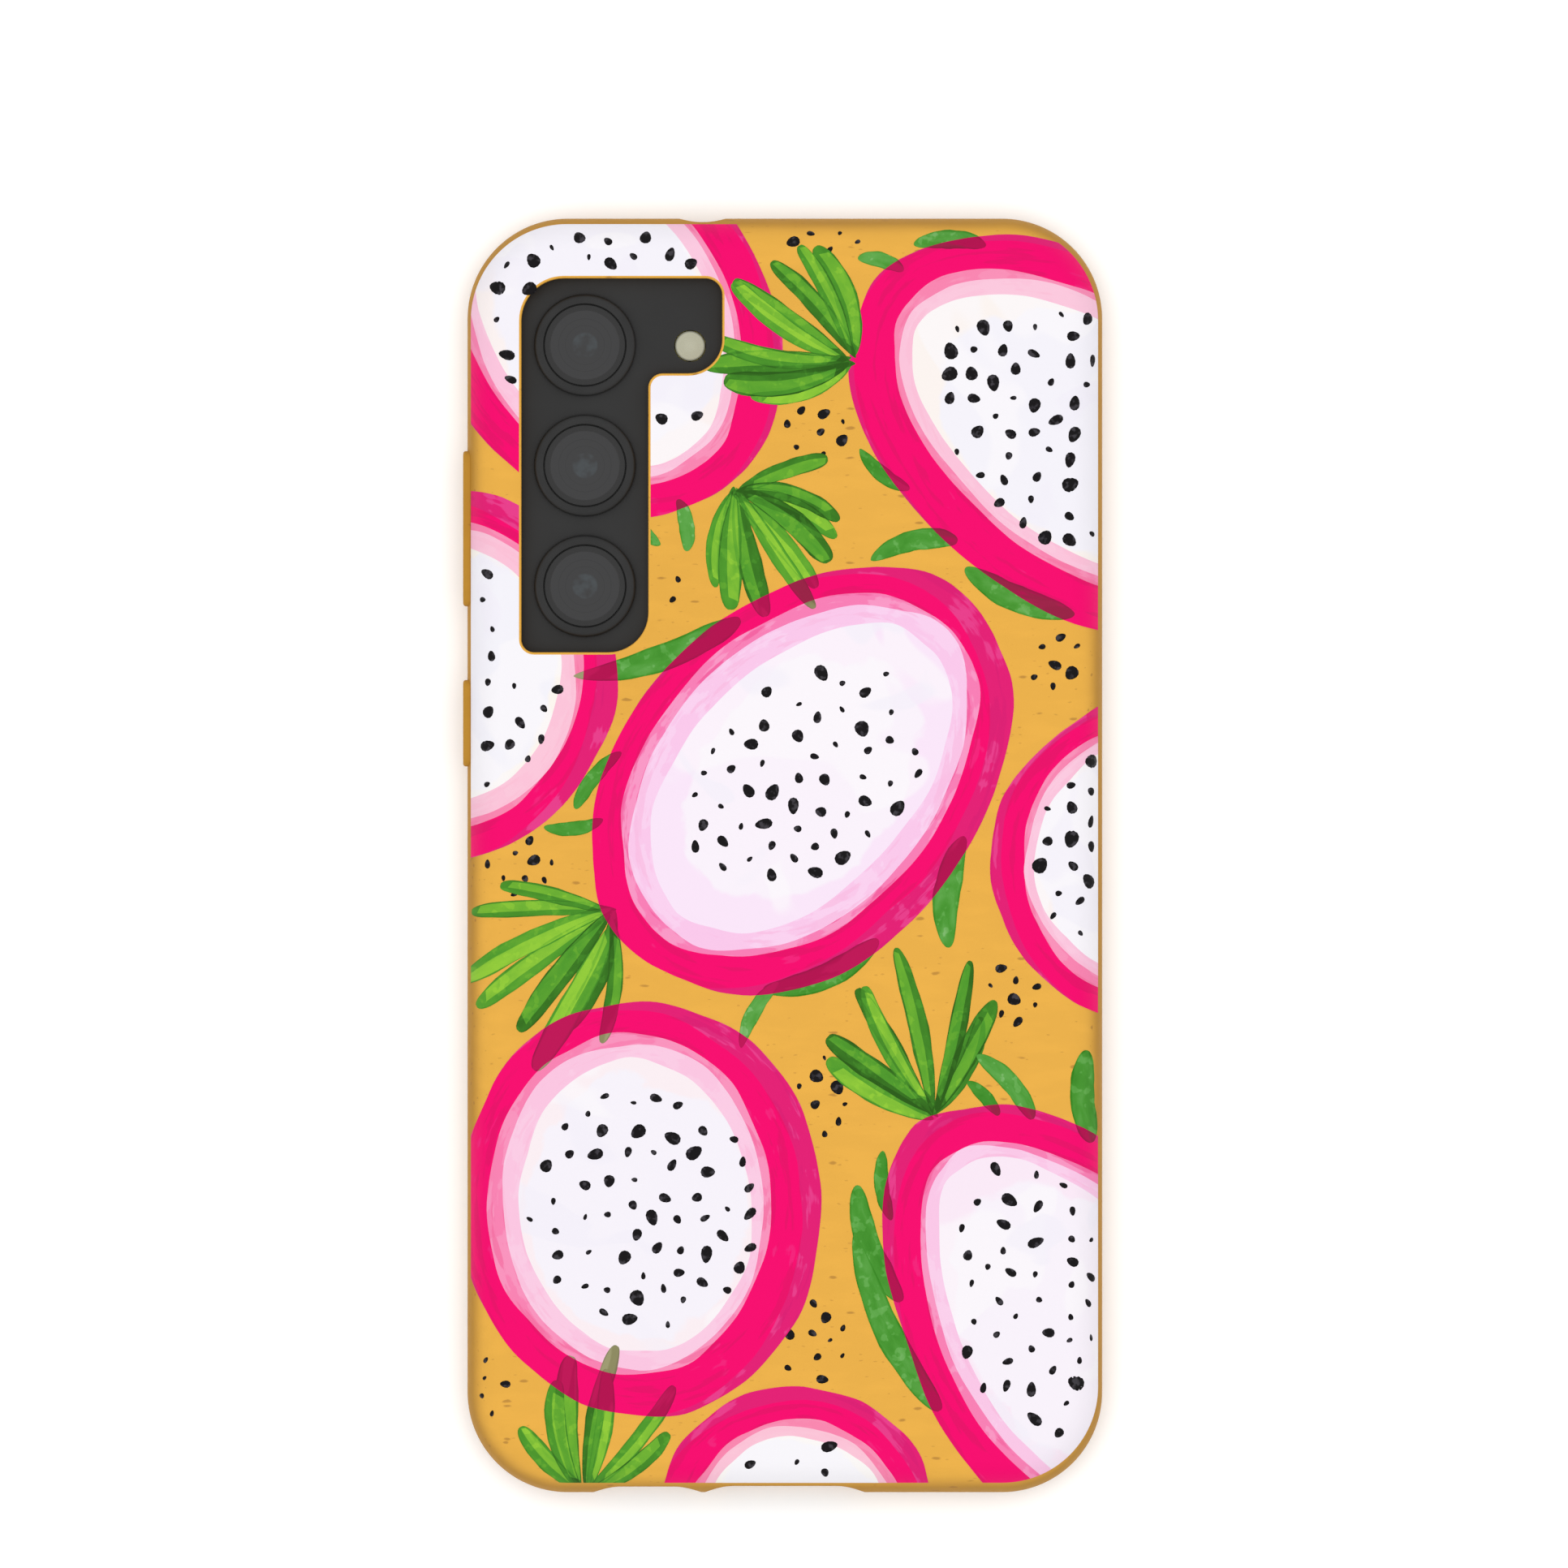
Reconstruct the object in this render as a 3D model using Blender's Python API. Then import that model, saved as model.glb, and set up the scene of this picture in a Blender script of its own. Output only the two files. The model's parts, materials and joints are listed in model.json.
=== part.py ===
"""A slim smartphone in a moulded protective case, lying on the case's front lip with its back up.

The frame: +Z is up, out of the printed back; +Y runs to the end with the cameras; the origin is the
centre of the case at the plane of its lip. Seen from above, the keys are on the left, at -X.
Sizes below are in millimetres; MM turns them into Blender's metres as each mesh is made.
"""

from math import cos, pi, sin, sqrt

import bpy

MM = 0.001

# Driving dimensions of the phone
PHONE_HALF_X = 35.45
PHONE_HALF_Y = 73.15
PHONE_THICKNESS = 7.6
PHONE_CORNER = 9.8
FRAME_EDGE = 0.9  # how far the metal frame's rounded edges reach in from its outline
FRAME_EDGE_HEIGHT = 1.6
WALL = 1.9  # the metal frame's side wall
GLASS_RIM = 1.0  # width of the frame's rim round each glass
GLASS_FIT = 0.1  # gap round and under each glass
FRONT_GLASS = 0.6
REAR_GLASS = 0.7
DISPLAY_RIM = 2.2
DISPLAY = (0.7, 1.6)
MID_PLATE = (1.7, 2.3)
INSIDE_FLOOR = 2.4  # the lowest level, above the mid plate, at which parts stand

# Driving dimensions of the case
CASE_WALL = 2.0
CASE_BACK = 1.9
LIP_HEIGHT = 1.2  # how far the lip holds the front glass off the table
LIP_REACH = 1.2  # how far the lip reaches over the phone's edge
LIP_FLAT = 0.8
CASE_FIT = 0.1  # gap between the phone and the case
BACK_EDGE = 4.0  # how far the case's rounded back edge reaches in
LIP_EDGE = 2.2
CASE_HALF_X = PHONE_HALF_X + CASE_WALL
CASE_HALF_Y = PHONE_HALF_Y + CASE_WALL
CASE_CORNER = PHONE_CORNER + CASE_WALL
CASE_HEIGHT = LIP_HEIGHT + PHONE_THICKNESS + CASE_FIT + CASE_BACK

# Cameras, ports and keys, in the phone's own plan
CAMERA_X = -23.56
CAMERA_Y = {"wide": 60.15, "main": 45.95, "tele": 31.75}
CAMERA_RING_RADIUS = 6.0
CAMERA_GLASS_RADIUS = 4.75
FLASH = (-11.17, 60.06)
FLASH_RADIUS = 1.77
PORT_LEVEL = 4.0  # height of the ports' middle above the front glass
USB_HALF = (4.47, 1.6)
SPEAKER_X = -16.2
SPEAKER_HOLES = 6
SPEAKER_PITCH = 1.9
SIM_X = 20.2
BOTTOM_MIC_X = 7.0
TOP_MIC_X = -9.7
KEYS = {"volume": (38.55, 18.3), "power": (15.6, 10.2)}  # middle in Y, length of the case's key cover
KEY_LEVEL = 4.0
KEY_PROUD = 0.45
KEY_COVER_PROUD = 0.5
KEY_TRAVEL = 0.25

# Smoothness
CORNER_STEPS = 10
EDGE_STEPS = 7
ROUND_STEPS = 28


def clear_scene():
    for found in list(bpy.data.objects):
        bpy.data.objects.remove(found)


# ---------------------------------------------------------------- outlines, in millimetres


def rounded_rectangle(half_x, half_y, radius, steps=CORNER_STEPS):
    """Points anticlockwise round a rectangle with round corners."""
    points = []
    for quarter in range(4):
        side_x = 1 if quarter in (0, 3) else -1
        side_y = 1 if quarter in (0, 1) else -1
        for step in range(steps + 1):
            angle = (quarter + step / steps) * pi / 2
            x = side_x * (half_x - radius) + radius * cos(angle)
            y = side_y * (half_y - radius) + radius * sin(angle)
            points.append((x, y))
    return points


def rectangle(x0, x1, y0, y1):
    return [(x0, y0), (x1, y0), (x1, y1), (x0, y1)]


def circle(radius, centre=(0, 0), steps=ROUND_STEPS):
    turns = [2 * pi * step / steps for step in range(steps)]
    return [(centre[0] + radius * cos(a), centre[1] + radius * sin(a)) for a in turns]


def rounded_outline(corners, steps=6):
    """A closed outline from (x, y, radius) corners, each corner rounded with an arc."""
    points = []
    count = len(corners)
    for index, (x, y, radius) in enumerate(corners):
        before = corners[index - 1]
        after = corners[(index + 1) % count]
        length_in = sqrt((before[0] - x) ** 2 + (before[1] - y) ** 2)
        length_out = sqrt((after[0] - x) ** 2 + (after[1] - y) ** 2)
        start = (x + (before[0] - x) * radius / length_in, y + (before[1] - y) * radius / length_in)
        end = (x + (after[0] - x) * radius / length_out, y + (after[1] - y) * radius / length_out)
        middle = (start[0] + end[0] - x, start[1] + end[1] - y)
        for step in range(steps + 1):
            angle = step / steps * pi / 2
            points.append(
                (
                    middle[0] + (start[0] - middle[0]) * cos(angle) + (end[0] - middle[0]) * sin(angle),
                    middle[1] + (start[1] - middle[1]) * cos(angle) + (end[1] - middle[1]) * sin(angle),
                )
            )
    return points


def quarter_round(reach, height, steps=EDGE_STEPS):
    """(inset, drop) pairs of a quarter ellipse, from its flat end to its upright end."""
    angles = [step / steps * pi / 2 for step in range(steps + 1)]
    return [(reach * (1 - sin(a)), height * (1 - cos(a))) for a in angles]


# ---------------------------------------------------------------- solids


def new_object(name, points, faces, material, parent=None, location=(0, 0, 0)):
    """An object whose mesh has these points, given in millimetres."""
    mesh = bpy.data.meshes.new(name)
    mesh.from_pydata([[value * MM for value in point] for point in points], [], faces)
    mesh.materials.append(material)
    mesh.validate()
    mesh.shade_smooth()
    mesh.set_sharp_from_angle(angle=0.6)
    made = bpy.data.objects.new(name, mesh)
    made.location = [value * MM for value in location]
    made.parent = parent
    bpy.context.scene.collection.objects.link(made)
    return made


def stack(name, rings, material, **place):
    """A closed solid through rings of equal length, the first and last filled in."""
    count = len(rings[0])
    points = [point for ring in rings for point in ring]
    faces = [list(range(count))[::-1]]
    for level in range(len(rings) - 1):
        for i in range(count):
            j = (i + 1) % count
            low, high = level * count, (level + 1) * count
            faces.append([low + i, low + j, high + j, high + i])
    faces.append([(len(rings) - 1) * count + i for i in range(count)])
    return new_object(name, points, faces, material, **place)


def shell_stack(name, half_x, half_y, corner, section, material, **place):
    """Sweeps (inset, z) points round a rounded rectangle and fills both ends."""
    rings = []
    for inset, z in section:
        outline = rounded_rectangle(half_x - inset, half_y - inset, corner - inset)
        rings.append([(x, y, z) for x, y in outline])
    return stack(name, rings, material, **place)


def prism(name, outline, low, high, material, **place):
    """A flat outline, anticlockwise, raised from low to high."""
    rings = [[(x, y, z) for x, y in outline] for z in (low, high)]
    return stack(name, rings, material, **place)


def box(name, x, y, z, material, **place):
    return prism(name, rectangle(*x, *y), *z, material, **place)


def turned(name, profile, material, steps=ROUND_STEPS, **place):
    """A ring from a closed profile of (radius, z) points that never meets the axis."""
    count = len(profile)
    points = []
    faces = []
    for turn in range(steps):
        angle = 2 * pi * turn / steps
        points += [(r * cos(angle), r * sin(angle), z) for r, z in profile]
        here, beyond = turn * count, (turn + 1) % steps * count
        for i in range(count):
            j = (i + 1) % count
            faces.append([here + i, beyond + i, beyond + j, here + j])
    return new_object(name, points, faces, material, **place)


def tool(made):
    """Marks a solid as a cutter or an addition that is not a piece of its own."""
    made.hide_render = True
    made.display_type = "WIRE"
    return made


def combine(piece, operation, *tools):
    for other in tools:
        modifier = piece.modifiers.new(f"{operation.title()} {other.name}", "BOOLEAN")
        modifier.operation = operation
        modifier.solver = "EXACT"
        modifier.object = tool(other)


def soften(piece, width, segments=2):
    modifier = piece.modifiers.new("Rounded edges", "BEVEL")
    modifier.width = width * MM
    modifier.segments = segments
    modifier.limit_method = "ANGLE"


def tunnel(name, centre_x, centre_z, half_width, half_height, y_from, y_to, **place):
    """A cutter with round ends that runs along Y."""
    radius = min(half_width, half_height)
    outline = rounded_rectangle(half_width, half_height, radius * 0.999, steps=6)
    points = [(centre_x + u, y, centre_z + v) for y in (y_to, y_from) for u, v in outline]
    count = len(outline)
    faces = [list(range(count))[::-1], [count + i for i in range(count)]]
    faces += [[i, (i + 1) % count, count + (i + 1) % count, count + i] for i in range(count)]
    return new_object(name, points, faces, paint("cutter", (1, 0, 0), 0.5), **place)


def paint(name, colour, roughness, metallic=0.0):
    """A Principled material, made once for each name."""
    found = bpy.data.materials.get(name)
    if found:
        return found
    made = bpy.data.materials.new(name)
    made.use_nodes = True
    shader = made.node_tree.nodes["Principled BSDF"]
    shader.inputs["Base Color"].default_value = (*colour, 1)
    shader.inputs["Roughness"].default_value = roughness
    shader.inputs["Metallic"].default_value = metallic
    return made


# ---------------------------------------------------------------- the case


def case_section():
    """(inset, z) from the middle of the back, round the outside and the lip, to the cavity's roof."""
    half_height = CASE_HEIGHT / 2
    outside = [(inset, CASE_HEIGHT - drop) for inset, drop in quarter_round(BACK_EDGE, half_height)]
    under = [(inset, drop) for inset, drop in quarter_round(LIP_EDGE, half_height)]
    lip_edge = CASE_WALL + LIP_REACH
    lip = [(LIP_EDGE + LIP_FLAT, 0), (lip_edge, 0.2), (lip_edge, LIP_HEIGHT - CASE_FIT)]
    wall = CASE_WALL - CASE_FIT
    ceiling = LIP_HEIGHT + PHONE_THICKNESS + CASE_FIT
    floor = LIP_HEIGHT - CASE_FIT
    turn = quarter_round(FRAME_EDGE, FRAME_EDGE_HEIGHT, steps=3)
    cavity_low = [(wall + inset, floor + drop) for inset, drop in turn]
    cavity_high = [(wall + inset, ceiling - drop) for inset, drop in reversed(turn)]
    return outside + under[-2::-1] + lip + cavity_low + cavity_high


def camera_window():
    """Outline of the case's opening round the three cameras and the flash."""
    left, right, inner = -31.03, -7.38, -16.09
    top, step, bottom = 68.0, 56.8, 23.95
    return [
        (left, top, 5.0),
        (left, bottom, 1.5),
        (inner, bottom, 4.7),
        (inner, step, 1.7),
        (right, step, 4.0),
        (right, top, 2.0),
    ]


def key_cover(name, middle, length, material):
    """A long pad moulded on the case's side, over one key."""
    height = 2.1
    level = LIP_HEIGHT + KEY_LEVEL + 0.2
    outline = rounded_rectangle(length / 2, height, 0.9, steps=4)
    outer = -CASE_HALF_X - KEY_COVER_PROUD
    rings = []
    for inset, x in ((0, outer + 1.1), (0, outer + 0.25), (0.25, outer)):
        rings.append([(x, -u * (1 - inset / (length / 2)), v * (1 - inset / height)) for u, v in outline])
    return stack(name, rings, material, location=(0, middle, level))


def make_case():
    bioplastic = paint("ochre bioplastic", (0.80, 0.44, 0.08), 0.75)
    shell = shell_stack(
        "case_shell", CASE_HALF_X, CASE_HALF_Y, CASE_CORNER, case_section()[::-1], bioplastic
    )
    level = LIP_HEIGHT + PORT_LEVEL
    window = prism(
        "camera_window_cutter", rounded_outline(camera_window()), CASE_HEIGHT - 3, CASE_HEIGHT + 1, bioplastic
    )
    outside = CASE_HALF_Y + 1
    inside = PHONE_HALF_Y - 0.9
    usb = tunnel("usb_opening_cutter", 0, level, 9.1, 3.2, -outside, -inside)
    speaker = tunnel("speaker_opening_cutter", SPEAKER_X, level, 6.05, 3.0, -outside, -inside)
    microphone = tunnel("top_mic_opening_cutter", TOP_MIC_X, level, 2.5, 2.4, inside, outside)
    combine(shell, "DIFFERENCE", window, usb, speaker, microphone)
    for key, (middle, length) in KEYS.items():
        combine(shell, "UNION", key_cover(f"{key}_cover_pad", middle, length, bioplastic))
        pocket_x = -PHONE_HALF_X - CASE_FIT - 0.75
        pocket = box(
            f"{key}_pocket_cutter",
            (pocket_x, -PHONE_HALF_X + 1),
            (middle - length / 2 - 0.2, middle + length / 2 + 0.2),
            (LIP_HEIGHT + KEY_LEVEL - 1.7, LIP_HEIGHT + KEY_LEVEL + 1.7),
            bioplastic,
        )
        combine(shell, "DIFFERENCE", pocket)


# ---------------------------------------------------------------- the phone


def chassis_section():
    """(inset, z) from the mid plate's front face, round the frame, to its back face."""
    edge = quarter_round(FRAME_EDGE, FRAME_EDGE_HEIGHT, steps=4)
    front = [
        (DISPLAY_RIM, MID_PLATE[0]),
        (DISPLAY_RIM, FRONT_GLASS + GLASS_FIT),
        (GLASS_RIM, FRONT_GLASS + GLASS_FIT),
        (GLASS_RIM, 0),
    ]
    rear_ledge = PHONE_THICKNESS - REAR_GLASS - GLASS_FIT
    back = [
        (GLASS_RIM, PHONE_THICKNESS),
        (GLASS_RIM, rear_ledge),
        (WALL, rear_ledge),
        (WALL, MID_PLATE[1]),
    ]
    outside = edge + [(inset, PHONE_THICKNESS - drop) for inset, drop in reversed(edge)]
    return front + outside + back


def make_chassis(phone):
    metal = paint("dark aluminium", (0.05, 0.05, 0.055), 0.35, 1.0)
    chassis = shell_stack(
        "chassis", PHONE_HALF_X, PHONE_HALF_Y, PHONE_CORNER, chassis_section(), metal, parent=phone
    )
    low = -PHONE_HALF_Y - 1
    through = -PHONE_HALF_Y + WALL + 0.5
    cutters = [
        tunnel("usb_hole_cutter", 0, PORT_LEVEL, USB_HALF[0] + 0.15, USB_HALF[1] + 0.15, low, through),
        tunnel("sim_slot_cutter", SIM_X, PORT_LEVEL, 6.65, 1.05, low, through),
        tunnel("bottom_mic_hole_cutter", BOTTOM_MIC_X, PORT_LEVEL, 0.5, 0.5, low, through),
        tunnel("top_mic_hole_cutter", TOP_MIC_X, PORT_LEVEL, 0.5, 0.5, -through, -low),
    ]
    for hole in range(SPEAKER_HOLES):
        x = SPEAKER_X + (hole - (SPEAKER_HOLES - 1) / 2) * SPEAKER_PITCH
        cutters.append(tunnel(f"speaker_hole_cutter_{hole + 1}", x, PORT_LEVEL, 0.6, 0.6, low, through))
    for key, (middle, length) in KEYS.items():
        half = length / 2 - 0.4 + 0.15
        slot = box(
            f"{key}_slot_cutter",
            (-PHONE_HALF_X - 1, -PHONE_HALF_X + WALL + 0.5),
            (middle - half, middle + half),
            (KEY_LEVEL - 1.25, KEY_LEVEL + 1.25),
            metal,
        )
        cutters.append(slot)
    cutters.append(prism("front_camera_hole_cutter", circle(2.1, FRONT_CAMERA), 1, 3, metal))
    cutters.append(box("fingerprint_window_cutter", (-5.3, 5.3), (-51.3, -44.7), (1, 3), metal))
    for cutter in cutters:
        cutter.parent = phone
    combine(chassis, "DIFFERENCE", *cutters)


FRONT_CAMERA = (0, 67.6)


def glass_plate(name, low, high, material, phone):
    inset = GLASS_RIM + GLASS_FIT
    section = [(inset + 0.15, low), (inset, low + 0.15), (inset, high - 0.15), (inset + 0.15, high)]
    return shell_stack(name, PHONE_HALF_X, PHONE_HALF_Y, PHONE_CORNER, section, material, parent=phone)


def make_screen(phone):
    glass_plate("front_glass", 0, FRONT_GLASS, paint("black glass", (0.005, 0.005, 0.006), 0.08), phone)
    panel = paint("display", (0.01, 0.01, 0.012), 0.3)
    inset = DISPLAY_RIM + 0.2
    display = shell_stack(
        "display_panel",
        PHONE_HALF_X,
        PHONE_HALF_Y,
        PHONE_CORNER,
        [(inset, DISPLAY[0]), (inset, DISPLAY[1])],
        panel,
        parent=phone,
    )
    hole = prism("display_hole_cutter", circle(2.1, FRONT_CAMERA), 0, 3, panel, parent=phone)
    combine(display, "DIFFERENCE", hole)
    sensor = paint("sensor", (0.03, 0.03, 0.03), 0.4)
    box("fingerprint_sensor", (-5, 5), (-51, -45), (1.75, 2.25), sensor, parent=phone)


def make_rear_glass(phone):
    matte = paint("matte black glass", (0.038, 0.038, 0.038), 0.6)
    top = PHONE_THICKNESS
    glass = glass_plate("rear_glass", top - REAR_GLASS, top, matte, phone)
    for name, y in CAMERA_Y.items():
        hole = prism(
            f"{name}_camera_hole_cutter", circle(4.7, (CAMERA_X, y)), top - 2, top + 1, matte, parent=phone
        )
        combine(glass, "DIFFERENCE", hole)
    hole = prism("flash_hole_cutter", circle(FLASH_RADIUS + 0.1, FLASH, 20), top - 2, top + 1, matte)
    hole.parent = phone
    combine(glass, "DIFFERENCE", hole)


def make_camera(name, y, phone):
    """A ring on the rear glass, its cover glass, and the module that looks up through it."""
    place = {"parent": phone, "location": (CAMERA_X, y, 0)}
    ring_metal = paint("camera ring", (0.03, 0.03, 0.03), 0.35, 0.8)
    seat = PHONE_THICKNESS + 0.1
    profile = [
        (4.0, seat - 1.0),
        (4.6, seat - 1.0),
        (4.6, seat),
        (CAMERA_RING_RADIUS, seat),
        (CAMERA_RING_RADIUS, seat + 0.7),
        (CAMERA_RING_RADIUS - 0.25, seat + 0.95),
        (5.05, seat + 0.95),
        (CAMERA_GLASS_RADIUS + 0.1, seat + 0.75),
        (CAMERA_GLASS_RADIUS + 0.1, seat + 0.25),
        (4.0, seat + 0.25),
    ]
    turned(f"{name}_camera_ring", profile, ring_metal, **place)
    cover = paint("lens glass", (0.01, 0.01, 0.012), 0.05)
    prism(f"{name}_camera_glass", circle(CAMERA_GLASS_RADIUS), seat + 0.35, seat + 0.7, cover, **place)
    black = paint("lens barrel", (0.02, 0.02, 0.02), 0.5)
    outline = rounded_rectangle(5.25, 6.2, 0.6, steps=2)
    body = prism(f"{name}_camera_module", outline, INSIDE_FLOOR + 0.05, 5.6, black, **place)
    barrel = prism(f"{name}_barrel", circle(3.85, steps=24), 5.2, seat + 0.1, black, **place)
    recess_rings = [(1.55, seat - 0.7), (1.55, seat - 0.5), (3.3, seat - 0.1), (3.3, seat + 1)]
    recess = stack(
        f"{name}_barrel_recess_cutter",
        [[(x, y_, z) for x, y_ in circle(r, steps=24)] for r, z in recess_rings],
        black,
        **place,
    )
    combine(body, "UNION", barrel)
    combine(body, "DIFFERENCE", recess)


def make_flash(phone):
    top = PHONE_THICKNESS
    diffuser = paint("flash diffuser", (0.42, 0.42, 0.31), 0.4)
    outline = circle(FLASH_RADIUS, FLASH, 20)
    prism("flash_lens", outline, top - REAR_GLASS, top, diffuser, parent=phone)
    led = paint("flash led", (0.8, 0.7, 0.2), 0.5)
    x, y = FLASH
    box("flash_led", (x - 1.8, x + 1.8), (y - 1.8, y + 1.8), (5.85, 6.75), led, parent=phone)


def make_front_camera(phone):
    black = paint("lens barrel", (0.02, 0.02, 0.02), 0.5)
    x, y = FRONT_CAMERA
    wide, tall = (x - 3.2, x + 3.2), (y - 3.2, y + 3.2)
    body = box("front_camera", wide, tall, (INSIDE_FLOOR + 0.05, 5.6), black, parent=phone)
    barrel = prism("front_barrel", circle(1.85, FRONT_CAMERA, 20), 0.8, 3.2, black, parent=phone)
    combine(body, "UNION", barrel)


def make_key(key, middle, length, phone):
    """A metal key through the frame's slot, held by a flange inside; its origin is on its slide axis."""
    metal = paint("dark aluminium", (0.05, 0.05, 0.055), 0.35, 1.0)
    place = {"parent": phone, "location": (-PHONE_HALF_X, middle, KEY_LEVEL)}
    half = length / 2 - 0.4
    rings = []
    outline = rounded_rectangle(half, 1.1, 1.0, steps=4)
    for shrink, x in ((0, WALL + 0.25), (0, -KEY_PROUD + 0.2), (0.2, -KEY_PROUD)):
        rings.append([(x, -u * (1 - shrink / half), v * (1 - shrink / 1.1)) for u, v in outline])
    cap = stack(f"{key}_key", rings, metal, **place)
    flange = box(
        f"{key}_flange", (WALL + 0.1, WALL + 0.45), (-half - 0.7, half + 0.7), (-1.6, 1.6), metal, **place
    )
    combine(cap, "UNION", flange)


def make_key_switches(phone):
    """The flexible strip behind the keys, with a pressed switch for each pressing point."""
    flex = paint("flex", (0.25, 0.12, 0.03), 0.5)
    inside = -PHONE_HALF_X + WALL
    strip = box(
        "key_switch_strip", (inside + 1.15, inside + 1.4), (9, 49), (2.6, 5.6), flex, parent=phone
    )
    for index, y in enumerate((KEYS["power"][0], KEYS["volume"][0] - 6, KEYS["volume"][0] + 6)):
        dome = box(
            f"switch_{index + 1}",
            (inside + 0.45 + KEY_TRAVEL + 0.1, inside + 1.3),
            (y - 1.5, y + 1.5),
            (KEY_LEVEL - 1.1, KEY_LEVEL + 1.1),
            flex,
            parent=phone,
        )
        combine(strip, "UNION", dome)


def holed_plate(name, outline, z, holes, material, phone):
    plate = prism(name, outline, *z, material, parent=phone)
    for index, spot in enumerate(holes):
        drill = prism(
            f"{name}_drill_{index + 1}", circle(0.85, spot, 10), z[0] - 1, z[1] + 1, material, parent=phone
        )
        combine(plate, "DIFFERENCE", drill)
    return plate


UPPER_SCREWS = [(-13.2, 54.6), (30.0, 61.8), (30.0, 27.2), (-13.2, 27.2), (9.5, 40.0)]
LOWER_SCREWS = [(-7.0, -60.0), (29.7, -49.0), (29.7, -60.0), (10.4, -66.0)]


def make_boards(phone):
    board = paint("circuit board", (0.01, 0.08, 0.04), 0.45)
    main_outline = [
        (-31.5, -40),
        (-15, -40),
        (-15, 24.4),
        (32.2, 24.4),
        (32.2, 63.8),
        (-16.2, 63.8),
        (-16.2, 24.8),
        (-31.5, 24.8),
    ]
    holed_plate("main_board", main_outline, (2.5, 3.1), UPPER_SCREWS, board, phone)
    sub_outline = [
        (-9, -46),
        (-9, -70.6),
        (-5.2, -70.6),
        (-5.2, -64.5),
        (5.2, -64.5),
        (5.2, -70.6),
        (26.5, -70.6),
        (32, -66),
        (32, -46),
    ]
    holed_plate("sub_board", sub_outline, (2.5, 3.1), LOWER_SCREWS, board, phone)
    can = paint("shield can", (0.6, 0.6, 0.58), 0.3, 1.0)
    soften(box("processor_shield", (-11, 8), (29.5, 52), (3.2, 4.9), can, parent=phone), 0.3)
    soften(box("radio_shield", (11, 28), (30, 58), (3.2, 4.9), can, parent=phone), 0.3)
    cover = paint("black plastic", (0.015, 0.015, 0.015), 0.6)
    upper_outline = rectangle(-15, 32.2, 25.2, 63.8)
    holed_plate("upper_cover", upper_outline, (5.1, 5.7), UPPER_SCREWS, cover, phone)
    lower_outline = [(-9, -68), (26, -68), (32, -64), (32, -46.5), (-9, -46.5)]
    holed_plate("lower_cover", lower_outline, (5.9, 6.4), LOWER_SCREWS, cover, phone)
    flex = paint("flex", (0.25, 0.12, 0.03), 0.5)
    ribbon = [
        (-28, -38),
        (-28, -48.4),
        (-7, -48.4),
        (-7, -50.5),
        (-2, -50.5),
        (-2, -44.2),
        (-20, -44.2),
        (-20, -38),
    ]
    prism("main_flex", ribbon, 3.2, 3.4, flex, parent=phone)


def make_screws(phone):
    steel = paint("screw steel", (0.55, 0.55, 0.55), 0.3, 1.0)
    tops = [(spot, 5.8) for spot in UPPER_SCREWS] + [(spot, 6.5) for spot in LOWER_SCREWS]
    for index, ((x, y), seat) in enumerate(tops):
        radii = [(0.6, 2.4), (0.6, seat), (1.15, seat), (1.15, seat + 0.25), (0.9, seat + 0.4)]
        rings = [[(u, v, z) for u, v in circle(r, steps=10)] for r, z in radii]
        stack(f"cover_screw_{index + 1}", rings, steel, parent=phone, location=(x, y, 0))


def make_power(phone):
    pouch = paint("battery pouch", (0.05, 0.05, 0.06), 0.4)
    battery = prism("battery", rectangle(-13.5, 29.5, -42, 23.4), 2.45, 5.85, pouch, parent=phone)
    soften(battery, 0.8)
    copper = paint("copper", (0.6, 0.25, 0.1), 0.3, 1.0)
    graphite = paint("coil shield", (0.05, 0.05, 0.05), 0.5)
    centre = (8, -9.3, 0)
    coil_profile = [(10, 6.3), (20, 6.3), (20, 6.6), (10, 6.6)]
    turned("charging_coil", coil_profile, copper, steps=40, parent=phone, location=centre)
    shield = rounded_rectangle(21.3, 24, 3, steps=4)
    prism("coil_shield", shield, 6.0, 6.2, graphite, parent=phone, location=centre)


def make_sound(phone):
    plastic = paint("black plastic", (0.015, 0.015, 0.015), 0.6)
    steel = paint("shield can", (0.6, 0.6, 0.58), 0.3, 1.0)
    speaker_outline = [(-31.5, -64.5), (-26.5, -70.7), (-10, -70.7), (-10, -49), (-31.5, -49)]
    soften(prism("bottom_speaker", speaker_outline, 2.5, 6.5, plastic, parent=phone), 0.4)
    soften(box("earpiece", (6, 20), (65.2, 70.8), (2.5, 5.4), plastic, parent=phone), 0.4)
    prism("vibration_motor", circle(4, (16.5, -51.6)), 3.2, 5.6, steel, parent=phone)
    box("bottom_microphone", (5.4, 8.7), (-71.0, -68.6), (3.2, 4.7), steel, parent=phone)
    box("top_microphone", (-11.5, -7.9), (68.7, 71.0), (3.1, 4.9), steel, parent=phone)
    box("light_sensor", (-6.6, -3.8), (66.6, 69.0), (2.5, 3.6), plastic, parent=phone)


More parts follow.
